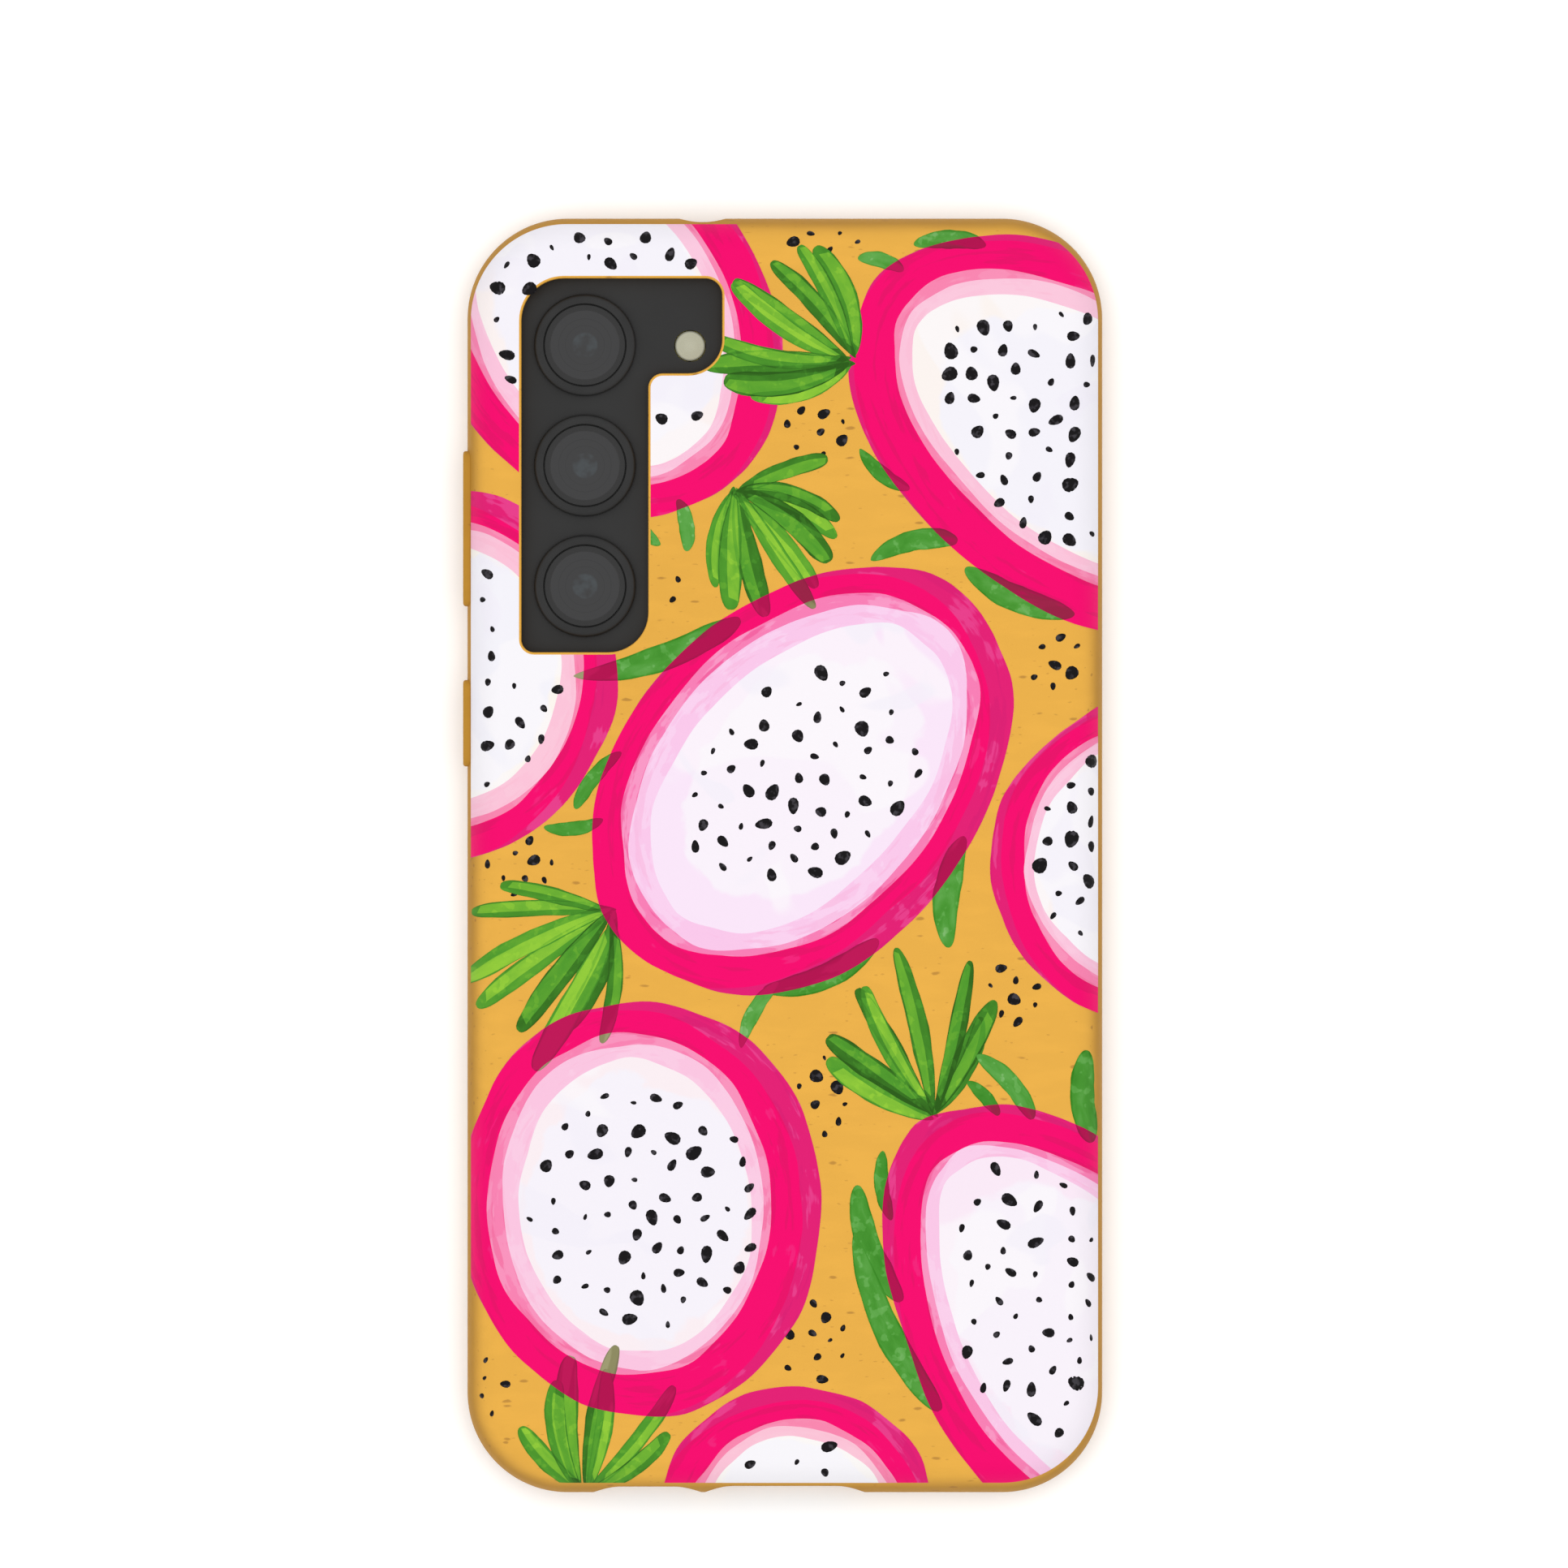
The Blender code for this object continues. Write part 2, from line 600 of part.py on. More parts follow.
def make_sockets(phone):
    steel = paint("connector steel", (0.6, 0.6, 0.6), 0.25, 1.0)
    wide, tall = USB_HALF
    mouth, back = -PHONE_HALF_Y + 0.25, -65.2
    socket = tunnel("usb_socket", 0, PORT_LEVEL, wide, tall, mouth, back, parent=phone)
    socket.data.materials[0] = steel
    hollow = tunnel("usb_hollow_cutter", 0, PORT_LEVEL, wide - 0.3, tall - 0.3, mouth - 1, back - 0.6)
    hollow.parent = phone
    tongue = box(
        "usb_tongue",
        (-3.35, 3.35),
        (mouth + 1.0, back - 0.3),
        (PORT_LEVEL - 0.35, PORT_LEVEL + 0.35),
        steel,
        parent=phone,
    )
    combine(socket, "DIFFERENCE", hollow)
    combine(socket, "UNION", tongue)
    tray_metal = paint("dark aluminium", (0.05, 0.05, 0.055), 0.35, 1.0)
    face = -PHONE_HALF_Y + 0.1
    tray = tunnel("sim_tray", SIM_X, PORT_LEVEL, 6.5, 0.9, face, face + WALL, parent=phone)
    tray.data.materials[0] = tray_metal
    plate = box(
        "sim_plate",
        (SIM_X - 6, SIM_X + 6),
        (face + WALL - 0.3, face + WALL + 14),
        (PORT_LEVEL - 0.4, PORT_LEVEL + 0.4),
        tray_metal,
        parent=phone,
    )
    seat = box(
        "sim_seat_cutter",
        (SIM_X - 4.4, SIM_X + 4.4),
        (face + WALL + 1, face + WALL + 13),
        (PORT_LEVEL - 1, PORT_LEVEL + 1),
        tray_metal,
        parent=phone,
    )
    combine(tray, "UNION", plate)
    combine(tray, "DIFFERENCE", seat)
    box("sim_reader", (SIM_X - 7, SIM_X + 7), (-70.4, -57.5), (4.7, 5.1), steel, parent=phone)


def make_phone():
    phone = bpy.data.objects.new("phone", None)
    phone.location = (0, 0, LIP_HEIGHT * MM)
    bpy.context.scene.collection.objects.link(phone)
    make_chassis(phone)
    make_screen(phone)
    make_rear_glass(phone)
    for name, y in CAMERA_Y.items():
        make_camera(name, y, phone)
    make_flash(phone)
    make_front_camera(phone)
    for key, (middle, length) in KEYS.items():
        make_key(key, middle, length, phone)
    make_key_switches(phone)
    make_boards(phone)
    make_screws(phone)
    make_power(phone)
    make_sound(phone)
    make_sockets(phone)


clear_scene()
make_case()
make_phone()
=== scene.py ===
"""The finished look of a smartphone in its printed case: moulded case, printed fruit slices and phone.

Lengths below are in millimetres in the CAD frame: +Z out of the printed back, +Y towards the cameras.
"""

import json
import random
from math import atan2, cos, degrees, hypot, pi, radians, sin, sqrt

import bmesh
import bpy
import numpy as np
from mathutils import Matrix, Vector
from mathutils.geometry import delaunay_2d_cdt


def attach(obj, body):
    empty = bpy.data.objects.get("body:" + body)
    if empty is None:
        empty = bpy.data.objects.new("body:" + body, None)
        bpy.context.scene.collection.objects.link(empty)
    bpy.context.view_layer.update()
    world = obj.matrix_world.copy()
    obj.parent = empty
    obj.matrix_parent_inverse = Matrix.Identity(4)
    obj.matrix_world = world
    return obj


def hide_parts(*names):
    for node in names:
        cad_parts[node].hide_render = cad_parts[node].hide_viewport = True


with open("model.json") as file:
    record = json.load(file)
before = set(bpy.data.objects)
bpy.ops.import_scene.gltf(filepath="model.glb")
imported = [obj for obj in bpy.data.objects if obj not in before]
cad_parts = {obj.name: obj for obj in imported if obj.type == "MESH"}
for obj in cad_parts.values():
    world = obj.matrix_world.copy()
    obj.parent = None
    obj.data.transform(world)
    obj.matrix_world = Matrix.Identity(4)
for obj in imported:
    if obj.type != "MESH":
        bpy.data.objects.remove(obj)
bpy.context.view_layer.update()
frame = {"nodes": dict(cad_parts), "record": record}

MM = 0.001
PHONE_BODY = "phone_in_case"

# The phone and the case, as the CAD has them
PHONE_HALF = (35.45, 73.15)
PHONE_CORNER = 9.8
PHONE_THICKNESS = 7.6
CASE_WALL = 2.0
CASE_HALF = (PHONE_HALF[0] + CASE_WALL, PHONE_HALF[1] + CASE_WALL)
CASE_CORNER = PHONE_CORNER + CASE_WALL
LIP_HEIGHT = 1.2
LIP_REACH = 1.2
CASE_FIT = 0.1
CASE_HEIGHT = LIP_HEIGHT + PHONE_THICKNESS + CASE_FIT + 1.9
HALF_HEIGHT = CASE_HEIGHT / 2
BACK_EDGE = 4.0
LIP_EDGE = 2.2
PORT_LEVEL = LIP_HEIGHT + 4.0
KEYS = {"volume": (38.55, 18.3), "power": (15.6, 10.2)}
CAMERAS = {"wide": 60.15, "main": 45.95, "tele": 31.75}
CAMERA_X = -23.56
CAMERA_HOLE = 4.7
FLASH = (-11.17, 60.06)
FLASH_HOLE = 1.87
REAR_GLASS_TOP = LIP_HEIGHT + PHONE_THICKNESS

# The print on the case's back
PRINT_THICKNESS = 0.03
SEED_THICKNESS = 0.02
PRINT_HEIGHT = PRINT_THICKNESS + SEED_THICKNESS
PRINT_AREA = (-37.0, 36.9, -73.9, 74.4)
PRINT_CORNER = 11.3
PRINT_TO_WINDOW = 0.28
PRINT_SINK = 0.01
LONGEST_EDGE = 2.4  # of the film's triangles on the rounded edge of the back
GRID_SPACING = 2.0  # of the film's points on the flat of the back
GRID_MARGIN = 4.2
SCALE_WIDTH = 0.88
FIRST_LONE_TUFT = 100  # each scale is a tuft of its own, numbered from here
CROSSING_SHADE = 0.17  # a leaf is darker by this where it crosses another of its tuft
INNER_LIGHT = 0.36  # and lighter by this in the middle stroke
CROSSED_LIGHT = 0.16
WHITEST_INK = 0.80


# ---------------------------------------------------------------- colours and nodes


def srgb(code):
    """Linear red, green, blue and alpha of a six-digit colour, scaled to what a print reflects."""
    values = [int(code[i : i + 2], 16) / 255 for i in (0, 2, 4)]
    linear = [v / 12.92 if v <= 0.04045 else ((v + 0.055) / 1.055) ** 2.4 for v in values]
    return (*[WHITEST_INK * v for v in linear], 1)


def add(tree, kind, inputs=None, **settings):
    """A node with its settings and its inputs, each of them a value or the socket that feeds it."""
    node = tree.nodes.new(kind)
    for key, value in settings.items():
        setattr(node, key, value)
    for key, value in (inputs or {}).items():
        if isinstance(value, bpy.types.NodeSocket):
            tree.links.new(value, node.inputs[key])
        else:
            node.inputs[key].default_value = value
    return node


def math(tree, operation, *values):
    return add(tree, "ShaderNodeMath", dict(enumerate(values)), operation=operation).outputs[0]


def times(tree, first, second):
    return math(tree, "MULTIPLY", first, second)


def plus(tree, first, second):
    return math(tree, "ADD", first, second)


def minus(tree, first, second):
    return math(tree, "SUBTRACT", first, second)


def vector_math(tree, operation, *values):
    made = add(tree, "ShaderNodeVectorMath", dict(enumerate(values)), operation=operation)
    return made.outputs["Value" if operation in ("LENGTH", "DISTANCE", "DOT_PRODUCT") else "Vector"]


def fade(tree, value, low, high):
    """0 below low and 1 above high, smoothly; high may be the lower one."""
    inputs = {"Value": value, "From Min": low, "From Max": high}
    return add(tree, "ShaderNodeMapRange", inputs, interpolation_type="SMOOTHSTEP").outputs["Result"]


def blend(tree, factor, first, second):
    inputs = {0: factor, 6: first, 7: second}
    return add(tree, "ShaderNodeMix", inputs, data_type="RGBA").outputs[2]


def noise(tree, vector, scale, detail=2.0, roughness=0.5, distortion=0.0):
    inputs = {"Vector": vector, "Scale": scale, "Detail": detail}
    inputs |= {"Roughness": roughness, "Distortion": distortion}
    return add(tree, "ShaderNodeTexNoise", inputs).outputs["Fac"]


def placed(tree, scale=(1, 1, 1), shift=(0, 0, 0)):
    """Object coordinates in millimetres, moved by shift and then stretched."""
    where = add(tree, "ShaderNodeTexCoord").outputs["Object"]
    inputs = {
        "Vector": where,
        "Location": [s * k for s, k in zip(shift, scale)],
        "Scale": [k / MM for k in scale],
    }
    return add(tree, "ShaderNodeMapping", inputs).outputs["Vector"]


NUMBER, COLOUR, VECTOR = "NodeSocketFloat", "NodeSocketColor", "NodeSocketVector"
WHITE = (0.8, 0.8, 0.8, 1)


def node_group(name, kind, inputs, outputs):
    """An empty node group with named sockets; returns the group and its two end nodes."""
    group = bpy.data.node_groups.new(name, kind)
    for label, (socket_kind, value) in inputs.items():
        socket = group.interface.new_socket(name=label, in_out="INPUT", socket_type=socket_kind)
        if value is not None:
            socket.default_value = value
    for label, socket_kind in outputs.items():
        group.interface.new_socket(name=label, in_out="OUTPUT", socket_type=socket_kind)
    return group, group.nodes.new("NodeGroupInput"), group.nodes.new("NodeGroupOutput")


def make_grain_group():
    """Fine moulded or blasted grain: a height for bump and a small change in roughness."""
    group, start, end = node_group(
        "Fine grain",
        "ShaderNodeTree",
        {"Grain Size": (NUMBER, 0.2), "Roughness": (NUMBER, 0.5), "Smudges": (NUMBER, 0.05)},
        {"Height": NUMBER, "Roughness": NUMBER},
    )
    where = placed(group)
    frequency = math(group, "DIVIDE", 1.0, start.outputs["Grain Size"])
    fine = noise(group, where, frequency, detail=3.0)
    smudge = noise(group, where, 0.09, detail=4.0, distortion=0.6)
    change = times(group, minus(group, smudge, 0.5), start.outputs["Smudges"])
    speck = times(group, minus(group, fine, 0.5), 0.06)
    rough = plus(group, plus(group, start.outputs["Roughness"], change), speck)
    group.links.new(fine, end.inputs["Height"])
    group.links.new(rough, end.inputs["Roughness"])
    return group


def make_fleck_group():
    """Plant flecks in a coloured bioplastic: short thin fibres that lie across the part."""
    group, start, end = node_group(
        "Plant flecks",
        "ShaderNodeTree",
        {
            "Ground": (COLOUR, WHITE),
            "Fleck": (COLOUR, WHITE),
            "Fleck Length": (NUMBER, 1.0),
            "Share": (NUMBER, 0.2),
        },
        {"Colour": COLOUR},
    )
    where = placed(group, scale=(1, 2.8, 2.8))
    warp = add(group, "ShaderNodeTexNoise", {"Vector": where, "Scale": 0.6, "Detail": 2.0})
    shake = vector_math(group, "SCALE", warp.outputs["Color"])
    shake.node.inputs["Scale"].default_value = 0.9
    moved = vector_math(group, "ADD", where, shake)
    frequency = math(group, "DIVIDE", 1.0, start.outputs["Fleck Length"])
    total = None
    for size, strength in ((1.0, 0.3), (0.42, 0.55)):
        scale = times(group, frequency, size)
        cells = add(group, "ShaderNodeTexVoronoi", {"Vector": moved, "Scale": scale})
        chance = add(group, "ShaderNodeSeparateColor", {0: cells.outputs["Color"]}).outputs[0]
        kept = math(group, "LESS_THAN", chance, start.outputs["Share"])
        body = fade(group, cells.outputs["Distance"], 0.34, 0.16)
        mask = times(group, times(group, kept, body), strength)
        total = mask if total is None else math(group, "MAXIMUM", total, mask)
    cloud = noise(group, where, 0.16, detail=3.0)
    paler = add(group, "ShaderNodeHueSaturation", {"Value": 1.04, "Color": start.outputs["Ground"]})
    ground = blend(group, fade(group, cloud, 0.42, 0.68), start.outputs["Ground"], paler.outputs[0])
    group.links.new(blend(group, total, ground, start.outputs["Fleck"]), end.inputs["Colour"])
    return group


def make_brush_group():
    """Watercolour laid with a loaded brush: thin and thick pigment in streaks along the stroke."""
    group, start, end = node_group(
        "Wet brush",
        "ShaderNodeTree",
        {
            "Brush": (VECTOR, (0, 0, 0)),
            "Body": (COLOUR, WHITE),
            "Thin": (COLOUR, WHITE),
            "Thick": (COLOUR, WHITE),
            "Thin Share": (NUMBER, 0.4),
            "Thick Share": (NUMBER, 0.3),
        },
        {"Colour": COLOUR},
    )
    brush = start.outputs["Brush"]
    wide = noise(group, brush, 0.16, detail=3.0, distortion=0.5)
    streak_scale = vector_math(group, "MULTIPLY", brush, (0.13, 0.13, 1.5))
    streak = noise(group, streak_scale, 1.0, detail=3.0)
    thin_level = plus(group, times(group, wide, 0.62), times(group, streak, 0.38))
    limit = minus(group, 0.70, times(group, start.outputs["Thin Share"], 0.32))
    thin = fade(group, thin_level, limit, plus(group, limit, 0.035))
    other = vector_math(group, "ADD", streak_scale, (31.0, 17.0, 9.0))
    edge = noise(group, other, 0.8, detail=4.0)
    limit = minus(group, 0.74, times(group, start.outputs["Thick Share"], 0.32))
    thick = fade(group, edge, limit, plus(group, limit, 0.05))
    washed = blend(group, times(group, thin, 0.6), start.outputs["Body"], start.outputs["Thin"])
    final = blend(group, times(group, thick, 0.7), washed, start.outputs["Thick"])
    group.links.new(final, end.inputs["Colour"])
    return group


GRAIN = make_grain_group()
FLECKS = make_fleck_group()
BRUSH = make_brush_group()


def from_axis(tree, centre):
    """How far a place is, in plan, from the upright axis through centre."""
    where = placed(tree, scale=(1, 1, 0), shift=(-centre[0], -centre[1], 0))
    return vector_math(tree, "LENGTH", where)


def new_material(name):
    made = bpy.data.materials.new(name)
    made.use_nodes = True
    return made, made.node_tree, made.node_tree.nodes["Principled BSDF"]


def use_group(tree, group, inputs):
    return add(tree, "ShaderNodeGroup", inputs, node_tree=group)


def painted(tree, brush, body, thin, thick, thin_share, thick_share):
    """The colour of a wet brush with three tones of one ink, each given as a colour code."""
    inputs = {"Brush": brush, "Body": srgb(body), "Thin": srgb(thin), "Thick": srgb(thick)}
    inputs |= {"Thin Share": thin_share, "Thick Share": thick_share}
    return use_group(tree, BRUSH, inputs).outputs["Colour"]


def grained(tree, shader, size, roughness, smudges, depth):
    """Gives a material its fine grain, in bump and in roughness."""
    grain = use_group(tree, GRAIN, {"Grain Size": size, "Roughness": roughness, "Smudges": smudges})
    tree.links.new(grain.outputs["Roughness"], shader.inputs["Roughness"])
    inputs = {"Height": grain.outputs["Height"], "Distance": depth * MM, "Strength": 1.0}
    bump = add(tree, "ShaderNodeBump", inputs)
    tree.links.new(bump.outputs["Normal"], shader.inputs["Normal"])
    return bump


def finish(tree, shader, colour, size, roughness, depth, specular=0.5, smudges=0.05):
    """Gives a material its colour, its shine and its fine grain."""
    tree.links.new(colour, shader.inputs["Base Color"])
    shader.inputs["Specular IOR Level"].default_value = specular
    return grained(tree, shader, size, roughness, smudges, depth)


def varied(name, low, high, size, roughness, metallic=0.0, patch=3.0, depth=0.006, specular=0.5):
    """A finish whose colour drifts between two close tones, given as colour codes, with fine grain."""
    made, tree, shader = new_material(name)
    drift = noise(tree, placed(tree), 1 / patch, detail=3.0)
    colour = blend(tree, fade(tree, drift, 0.35, 0.68), srgb(low), srgb(high))
    shader.inputs["Metallic"].default_value = metallic
    finish(tree, shader, colour, size, roughness, depth, specular)
    return made


def make_bioplastic():
    made, tree, shader = new_material("Ochre bioplastic")
    level = part_of(tree, placed(tree), 2)
    # Painted shade: the ochre turns deeper down the rounded sides below the back, standing in for the shade
    # that falls on the steep rim.
    ground = blend(tree, fade(tree, level, 10.3, 8.1), srgb("EDB24A"), srgb("C08C32"))
    inputs = {"Ground": ground, "Fleck": srgb("9C6A34"), "Fleck Length": 0.85, "Share": 0.07}
    flecks = use_group(tree, FLECKS, inputs)
    finish(tree, shader, flecks.outputs["Colour"], 0.16, 0.62, 0.008, specular=0.12)
    return made


def attribute(tree, name):
    return add(tree, "ShaderNodeAttribute", attribute_name=name).outputs["Vector"]


def part_of(tree, vector, index):
    return add(tree, "ShaderNodeSeparateXYZ", {0: vector}).outputs[index]


def finish_ink(tree, shader, colour):
    finish(tree, shader, colour, 0.16, 0.6, 0.006, specular=0.1)


def make_rind_ink():
    """Magenta rind: strong body colour, a thinner dusty wash along the outer edge, darker overlaps."""
    made, tree, shader = new_material("Rind ink")
    brush, marks = attribute(tree, "brush"), attribute(tree, "marks")
    strong = painted(tree, brush, "FA0070", "F52A84", "E60A68", 0.3, 0.62)
    dusty = painted(tree, brush, "E61C76", "EE4C9A", "DC1A74", 0.5, 0.55)
    depth = part_of(tree, marks, 1)
    around = times(tree, minus(tree, noise(tree, brush, 0.07, detail=1.0), 0.5), 1.6)
    reach = plus(tree, times(tree, part_of(tree, marks, 0), 3.0), around)
    outer = fade(tree, minus(tree, reach, depth), 0.0, 0.1)
    finish_ink(tree, shader, blend(tree, outer, strong, dusty))
    return made


def make_ring_ink(name, body, thin, thick, other):
    """A paler ring inside the rind; other is the tone that it has on some slices."""
    made, tree, shader = new_material(name)
    brush, marks = attribute(tree, "brush"), attribute(tree, "marks")
    usual = painted(tree, brush, body, thin, thick, 0.66, 0.55)
    warm = times(tree, part_of(tree, marks, 0), 0.7)
    finish_ink(tree, shader, blend(tree, warm, usual, srgb(other)))
    return made


def make_flesh_ink():
    """White flesh with cream, lilac and lavender tints that pool in soft-edged patches."""
    made, tree, shader = new_material("Flesh ink")
    where = placed(tree)
    marks = attribute(tree, "marks")
    warm, room = part_of(tree, marks, 0), part_of(tree, marks, 2)
    pool = noise(tree, where, 0.14, detail=3.0, distortion=0.5)
    inner = fade(tree, plus(tree, room, times(tree, pool, 5.0)), 2.6, 3.2)
    edge = blend(tree, warm, srgb("FDE9FC"), srgb("FFFAF0"))
    middle = blend(tree, warm, srgb("FDF5FE"), srgb("F7F6FD"))
    colour = blend(tree, inner, edge, middle)
    for scale, limit, tint, away in ((0.05, 0.53, "FFFCFF", 3.0), (0.06, 0.58, "F6F2FC", 23.0)):
        moved = vector_math(tree, "ADD", where, (away, away, away))
        patch = fade(tree, noise(tree, moved, scale, detail=2.0, distortion=0.8), limit, limit + 0.03)
        colour = blend(tree, times(tree, patch, 0.6), colour, srgb(tint))
    finish_ink(tree, shader, colour)
    return made


def ramp(tree, factor, *stops):
    """A colour ramp through (place, colour code) stops."""
    node = add(tree, "ShaderNodeValToRGB", {"Fac": factor})
    points = node.color_ramp.elements
    while len(points) < len(stops):
        points.new(0.5)
    for point, (place, code) in zip(points, stops):
        point.position = place
        point.color = srgb(code)
    return node.outputs["Color"]


def make_leaf_ink():
    """Green strokes in watercolour, with a thin dark edge and paler blots.

    A leaf's tone runs from 0 to 1. The cooler green of the scales has tones from 2 up.
    """
    made, tree, shader = new_material("Leaf ink")
    brush, leaf = attribute(tree, "brush"), attribute(tree, "marks")
    along, across, tone = (part_of(tree, leaf, i) for i in range(3))
    wet = noise(tree, vector_math(tree, "MULTIPLY", brush, (0.35, 0.8, 1.0)), 1.0, detail=3.0, distortion=0.4)
    change = times(tree, minus(tree, wet, 0.5), 0.42)
    blot = noise(tree, vector_math(tree, "ADD", brush, (5.0, 9.0, 2.0)), 0.75, detail=2.0)
    change = plus(tree, change, times(tree, fade(tree, blot, 0.56, 0.62), 0.12))
    edge = fade(tree, math(tree, "ABSOLUTE", across), 0.8, 0.95)
    change = minus(tree, change, times(tree, edge, 0.13))
    root = times(tree, fade(tree, along, 0.3, 0.0), 0.15)
    level = minus(tree, plus(tree, tone, change), root)
    stops = ((0.0, "2B5E16"), (0.25, "3C7E22"), (0.5, "509C2C"), (0.75, "70B432"), (1.0, "94CE3A"))
    fresh = ramp(tree, level, *stops)
    pale = plus(tree, tone, times(tree, change, 2.0))
    level = minus(tree, pale, 2.0)
    cool = ramp(tree, level, (0.0, "2F8018"), (0.4, "4B9A34"), (0.7, "66AE52"), (1.0, "92C482"))
    finish_ink(tree, shader, blend(tree, math(tree, "GREATER_THAN", tone, 1.5), fresh, cool))
    return made


def make_overlap_ink():
    """Leaf strokes where they cross a slice: crimson on the rind, olive brown on the pale parts."""
    made, tree, shader = new_material("Overlap ink")
    brush, leaf = attribute(tree, "brush"), attribute(tree, "marks")
    across, zone = part_of(tree, leaf, 1), part_of(tree, leaf, 2)
    stretched = vector_math(tree, "MULTIPLY", brush, (0.5, 2.2, 1.0))
    crimson = painted(tree, stretched, "B50A50", "C8145C", "8C2440", 0.6, 0.6)
    olive = painted(tree, stretched, "8F8C62", "A9A67C", "6E5A40", 0.6, 0.5)
    colour = blend(tree, fade(tree, zone, 0.3, 0.7), crimson, olive)
    edge = times(tree, fade(tree, math(tree, "ABSOLUTE", across), 0.72, 0.98), 0.55)
    darker = blend(tree, fade(tree, zone, 0.3, 0.7), srgb("8A1240"), srgb("6A6448"))
    finish_ink(tree, shader, blend(tree, edge, colour, darker))
    return made


def make_seed_ink():
    """Black seeds with a softer grey bloom on one side."""
    made, tree, shader = new_material("Seed ink")
    bloom = noise(tree, placed(tree), 1.3, detail=2.0)
    colour = blend(tree, times(tree, fade(tree, bloom, 0.5, 0.66), 0.75), srgb("161416"), srgb("4A474D"))
    finish_ink(tree, shader, colour)
    return made


# ---------------------------------------------------------------- outlines and solids


def rounded_rectangle(half_x, half_y, radius, steps=30):
    points = []
    for quarter in range(4):
        side_x = 1 if quarter in (0, 3) else -1
        side_y = 1 if quarter in (0, 1) else -1
        for step in range(steps + 1):
            angle = (quarter + step / steps) * pi / 2
            x = side_x * (half_x - radius) + radius * cos(angle)
            points.append((x, side_y * (half_y - radius) + radius * sin(angle)))
    return points


def rounded_outline(corners, steps=14):
    """A closed outline from (x, y, radius) corners, each corner rounded with an arc."""
    points = []
    for index, (x, y, radius) in enumerate(corners):
        before, after = corners[index - 1], corners[(index + 1) % len(corners)]
        ends = []
        for other in (before, after):
            length = sqrt((other[0] - x) ** 2 + (other[1] - y) ** 2)
            ends.append((x + (other[0] - x) * radius / length, y + (other[1] - y) * radius / length))
        (sx, sy), (ex, ey) = ends
        mx, my = sx + ex - x, sy + ey - y
        for step in range(steps + 1):
            a = step / steps * pi / 2
            px = mx + (sx - mx) * cos(a) + (ex - mx) * sin(a)
            points.append((px, my + (sy - my) * cos(a) + (ey - my) * sin(a)))
    return points


def divided(ring, longest):
    """The same closed ring of points, with more of them along its long straight sides."""
    points = []
    for (x, y), (u, v) in zip(ring, ring[1:] + ring[:1]):
        count = max(1, round(hypot(u - x, v - y) / longest))
        points += [(x + (u - x) * k / count, y + (v - y) * k / count) for k in range(count)]
    return points


def camera_window(grow=0.0):
    """Outline of the opening round the cameras, widened by grow."""
    left, right, inner = -31.03 - grow, -7.38 + grow, -16.09 + grow
    top, step, bottom = 68.0 + grow, 56.8 - grow, 23.95 - grow
    return rounded_outline(
        [
            (left, top, 5.0 + grow),
            (left, bottom, 1.5 + grow),
            (inner, bottom, 4.7 + grow),
            (inner, step, 1.7 - grow),
            (right, step, 4.0 + grow),
            (right, top, 2.0 + grow),
        ]
    )


def at_height(outline, z):
    return [(x, y, z) for x, y in outline]


def quarter_round(reach, height, steps):
    """(inset, drop) pairs of a quarter ellipse, from its flat end to its upright end."""
    angles = [step / steps * pi / 2 for step in range(steps + 1)]
    return [(reach * (1 - sin(a)), height * (1 - cos(a))) for a in angles]


def new_object(name, data):
    made = bpy.data.objects.new(name, data)
    bpy.context.scene.collection.objects.link(made)
    return made


def fit(piece, replaced=None, body=PHONE_BODY):
    """Says which body a piece rides on, and hides the CAD node it replaces, if any."""
    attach(piece, body)
    if replaced:
        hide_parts(replaced)


def new_piece(name, points, faces, material, sharp=35):
    """An object whose mesh has these points, given in millimetres, smooth but for its sharp edges."""
    mesh = bpy.data.meshes.new(name)
    mesh.from_pydata([[value * MM for value in point] for point in points], [], faces)
    mesh.materials.append(material)
    mesh.validate()
    mesh.shade_smooth()
    mesh.set_sharp_from_angle(angle=radians(sharp))
    return new_object(name, mesh)


def stack(name, rings, material, **more):
    """A closed solid through rings of equal length, the first and last filled in."""
    count = len(rings[0])
    points = [point for ring in rings for point in ring]
    faces = [list(range(count))[::-1]]
    for level in range(len(rings) - 1):
        low, high = level * count, (level + 1) * count
        faces += [[low + i, low + (i + 1) % count, high + (i + 1) % count, high + i] for i in range(count)]
    faces.append([(len(rings) - 1) * count + i for i in range(count)])
    return new_piece(name, points, faces, material, **more)


def turned(name, profile, centre, material, steps=96, sharp=35):
    """A closed turned solid from (radius, z) points that start and end on the axis, or a closed ring."""
    solid = profile[0][0] == 0
    rows = profile[1:-1] if solid else profile
    points, faces = [], []
    for turn in range(steps):
        angle = 2 * pi * turn / steps
        points += [(centre[0] + r * cos(angle), centre[1] + r * sin(angle), z) for r, z in rows]
    count = len(rows)
    for turn in range(steps):
        here, beyond = turn * count, (turn + 1) % steps * count
        for i in range(count if not solid else count - 1):
            j = (i + 1) % count
            faces.append([here + i, beyond + i, beyond + j, here + j])
    if solid:
        for row, (_, z), step in ((0, profile[0], 1), (count - 1, profile[-1], -1)):
            points.append((centre[0], centre[1], z))
            last = len(points) - 1
            for turn in range(steps):
                here, beyond = turn * count + row, (turn + 1) % steps * count + row
                faces.append([last, beyond, here][::step])
    return new_piece(name, points, faces, material, sharp=sharp)


